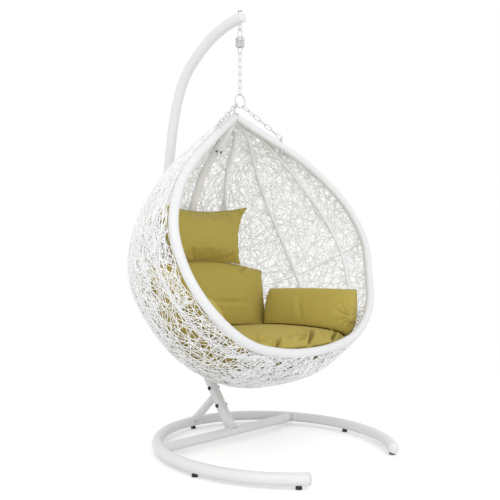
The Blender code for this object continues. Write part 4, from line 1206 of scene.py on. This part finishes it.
def cushion(name, node, centre, across, height_dir, size, count, round_plan=0.0, draw=0.05, fullness=0.42,
            taper=0.0, bend=0.0, arch=0.0, tufts=(), folds=(), gathers=()):
    """A sewn and stuffed cushion in the place of a CAD node."""
    across = np.array(Vector(across).normalized())
    front = np.array(Vector(across).cross(Vector(height_dir)).normalized())
    up = np.cross(front, across)
    wide, tall, thick = size

    def plan(nx, ny):
        a, b = np.meshgrid(spread(nx), spread(ny), indexing="ij")
        x = wide / 2 * a * np.sqrt(1 - round_plan * b * b / 2) * (1 - draw * (1 - b * b) * a * a)
        y = tall / 2 * b * np.sqrt(1 - round_plan * a * a / 2) * (1 - draw * (1 - a * a) * b * b)
        return a, b, x * (1 + taper * b), y - arch * a * a * (1 + b) / 2

    a, b, x, y = plan(*count)
    crown = ((1 - a * a).clip(0) * (1 - b * b).clip(0)) ** fullness
    ahead = bend * (2 * x / wide) ** 2
    flat = at_depth(centre) + across * x[..., None] + up * y[..., None]
    panels = np.array([flat + front * (ahead + face * thick / 2 * crown)[..., None] for face in (1, -1)])
    for _ in range(3):
        panels = pressed_all(eased(pressed_all(panels), 2))
    panels = pressed_all(inflated(panels))
    panels = np.array([finer(finer(panel)) for panel in panels])
    depth = folded(*plan(4 * count[0], 4 * count[1]), size, tufts, folds, gathers)
    outward = np.cross(np.gradient(panels, axis=1), np.gradient(panels, axis=2))
    outward[1] *= -1
    outward /= np.linalg.norm(outward, axis=-1, keepdims=True) + 1e-12
    panels[:, 1:-1, 1:-1] -= (outward * depth[..., None])[:, 1:-1, 1:-1]
    verts, faces, seam = sewn(pressed_all(panels))
    obj = solid(name, verts, faces, olive, "basket", node)
    made.append(BVHTree.FromPolygons([Vector(v) for v in verts], faces))
    line = verts[seam]
    for _ in range(2):
        line = (line + (np.roll(line, 1, 0) + np.roll(line, -1, 0)) / 2) / 2
    line = line[np.linalg.norm(line - np.roll(line, 1, 0), axis=1) > SEAM_DROP]
    # The seam's line is the darker olive: painted shade along the seam.
    sweep(name.replace("sewn", "seam"), line, SEAM_R, olive_painted_shade, "basket", 8, closed=True)
    print(name, len(verts), "points")
    return obj


# %% [markdown]
# ## The five cushions
# The seat goes in first, then the two bolsters, the back and the head pillow, each on those before it. A
# tuft is a place, a depth and a width; a fold is a place, a direction in degrees, a length, a depth and a
# width; a gather is a place, a reach, a depth and a number of rays.

# %% Cushions of this chair
ACROSS = (1, 0, 0)
cushion("seat_cushion_sewn", "seat_cushion", (0, -0.150, 0.397), ACROSS, (0, 1, 0), (0.98, 0.66, 0.225),
        (60, 42), 0.75, 0.0, 0.30, tufts=((0.02, -0.22, 0.026, 0.022), (-0.20, -0.20, 0.026, 0.022)),
        folds=((-0.15, -0.272, 41, 0.10, 0.026, 0.0055), (0.088, -0.240, 42, 0.24, 0.036, 0.0075),
               (0.250, -0.240, 37, 0.16, 0.030, 0.0060), (-0.05, -0.238, 33, 0.15, 0.010, 0.010),
               (0.01, -0.258, 30, 0.14, 0.010, 0.009), (0.17, -0.235, 52, 0.12, 0.008, 0.010)))
for side, sign, out, lean, high in (("right", 1, 0.331, 0.25, 0.565), ("left", -1, 0.395, 0.45, 0.550)):
    cushion(f"arm_cushion_{side}_sewn", f"arm_cushion_{side}", (out * sign, -0.1805, high),
            (0.332 * sign, -0.943, 0), (lean * sign, 0.088, 0.96), (0.46, 0.23, 0.19), (42, 24), 0.22, 0.02,
            0.26, gathers=((0.215, -0.03, 0.10, 0.010, 11),), folds=((-0.02, 0.0, -80, 0.14, 0.004, 0.012),))
cushion("back_cushion_sewn", "back_cushion", (-0.030, 0.135, 0.632), ACROSS, (0, 0.32, 0.94),
        (0.65, 0.38, 0.16), (52, 30), 0.0, 0.03, 0.36, taper=0.085, bend=0.040, arch=0.075,
        folds=((0.07, -0.047, -2, 0.22, 0.006, 0.010), (0.21, 0.122, 35, 0.09, 0.014, 0.008)))
cushion("head_cushion_sewn", "head_pillow", (-0.040, 0.185, 0.922), ACROSS, (0, 0.24, 0.97),
        (0.50, 0.285, 0.15), (44, 28), 0.0, 0.15, 0.45, taper=0.17, bend=0.045)

# %% [markdown]
# ## Ties
# A thin cord is knotted at the front end of each arm bolster, low on its inner side, and its two ends hang
# down. One swept line makes both tails and the loop between them.

# %% Ties
TIE_R, TIE_LOOP, TIE_TAIL = 0.0017, 0.005, 0.024
low = Vector((0, 0, -1))
for tree, side, sign in ((made[1], "right", 1), (made[2], "left", -1)):
    spot, facing, _, _ = tree.find_nearest(Vector((0.352 * sign, -0.318, 0.530)))
    aside = UP.cross(facing).normalized()
    knot = spot + facing * (TIE_LOOP + TIE_R)
    turn = [knot + (aside * math.sin(w) + facing * math.cos(w)) * TIE_LOOP
            for w in np.linspace(-2.4, 8.7, 26)]
    tails = [[end + (way * 0.5 * f + low * f) * TIE_TAIL + facing * 0.002 for f in (0.35, 0.7, 1.0)]
             for end, way in ((turn[0], -aside), (turn[-1], aside))]
    # The tie is the darker olive: painted shade.
    sweep(f"bolster_tie_{side}", tails[0][::-1] + turn + tails[1], TIE_R, olive_painted_shade, "basket", 8)
    print("tie on the", side, "bolster at", [round(c, 3) for c in knot])

# %% [markdown]
# ## Floor and light
# The chair stands on a white sheet under soft, even light from the left and above. The sheet and the sky
# are white where the camera looks at them, and the lamps stay at a plain level.

# %% Floor and light
FLOOR_GLOW, FLOOR_WHITE, FLOOR_R = 0.20, 0.88, 2.6


def white_sheet():
    mat, start = finish_of("white_sheet")
    seen = (start.node("LightPath", output=0) + start.node("LightPath", output=3)).limited()
    glow = start.node("Emission", {}, {"Strength": seen * FLOOR_GLOW})
    sheet = start.node("BsdfDiffuse", {}, {"Color": grey(FLOOR_WHITE)})
    start.feed(mat.node_tree.nodes["Material Output"].inputs,
               {"Surface": start.node("AddShader", {}, {0: sheet, 1: glow})})
    return mat


def lamp(name, at, towards, size, power):
    light = bpy.data.lights.new(name, "AREA")
    light.size, light.energy = size, power
    obj = bpy.data.objects.new(name, light)
    bpy.context.scene.collection.objects.link(obj)
    obj.location = at
    obj.rotation_euler = (Vector(towards) - Vector(at)).to_track_quat("-Z", "Y").to_euler()
    obj.visible_camera = False
    return obj


bpy.ops.mesh.primitive_circle_add(vertices=96, radius=FLOOR_R, fill_type="NGON", location=(0, 0, 0))
floor = bpy.context.active_object
floor.name = "floor_sheet"
floor.data.materials.append(white_sheet())

world = bpy.data.worlds.new("studio")
world.use_nodes = True
bpy.context.scene.world = world
Signal(world.node_tree).feed(world.node_tree.nodes["Background"].inputs, {"Color": grey(1), "Strength": 1.0})
lamp("key", (-3.4, -1.8, 3.0), (0, 0, 0.8), 1.6, 27)
lamp("front", (-1.2, -3.6, 1.9), (0, 0, 0.8), 2.4, 24)
print("floor of", 2 * FLOOR_R, "m and 2 lamps")
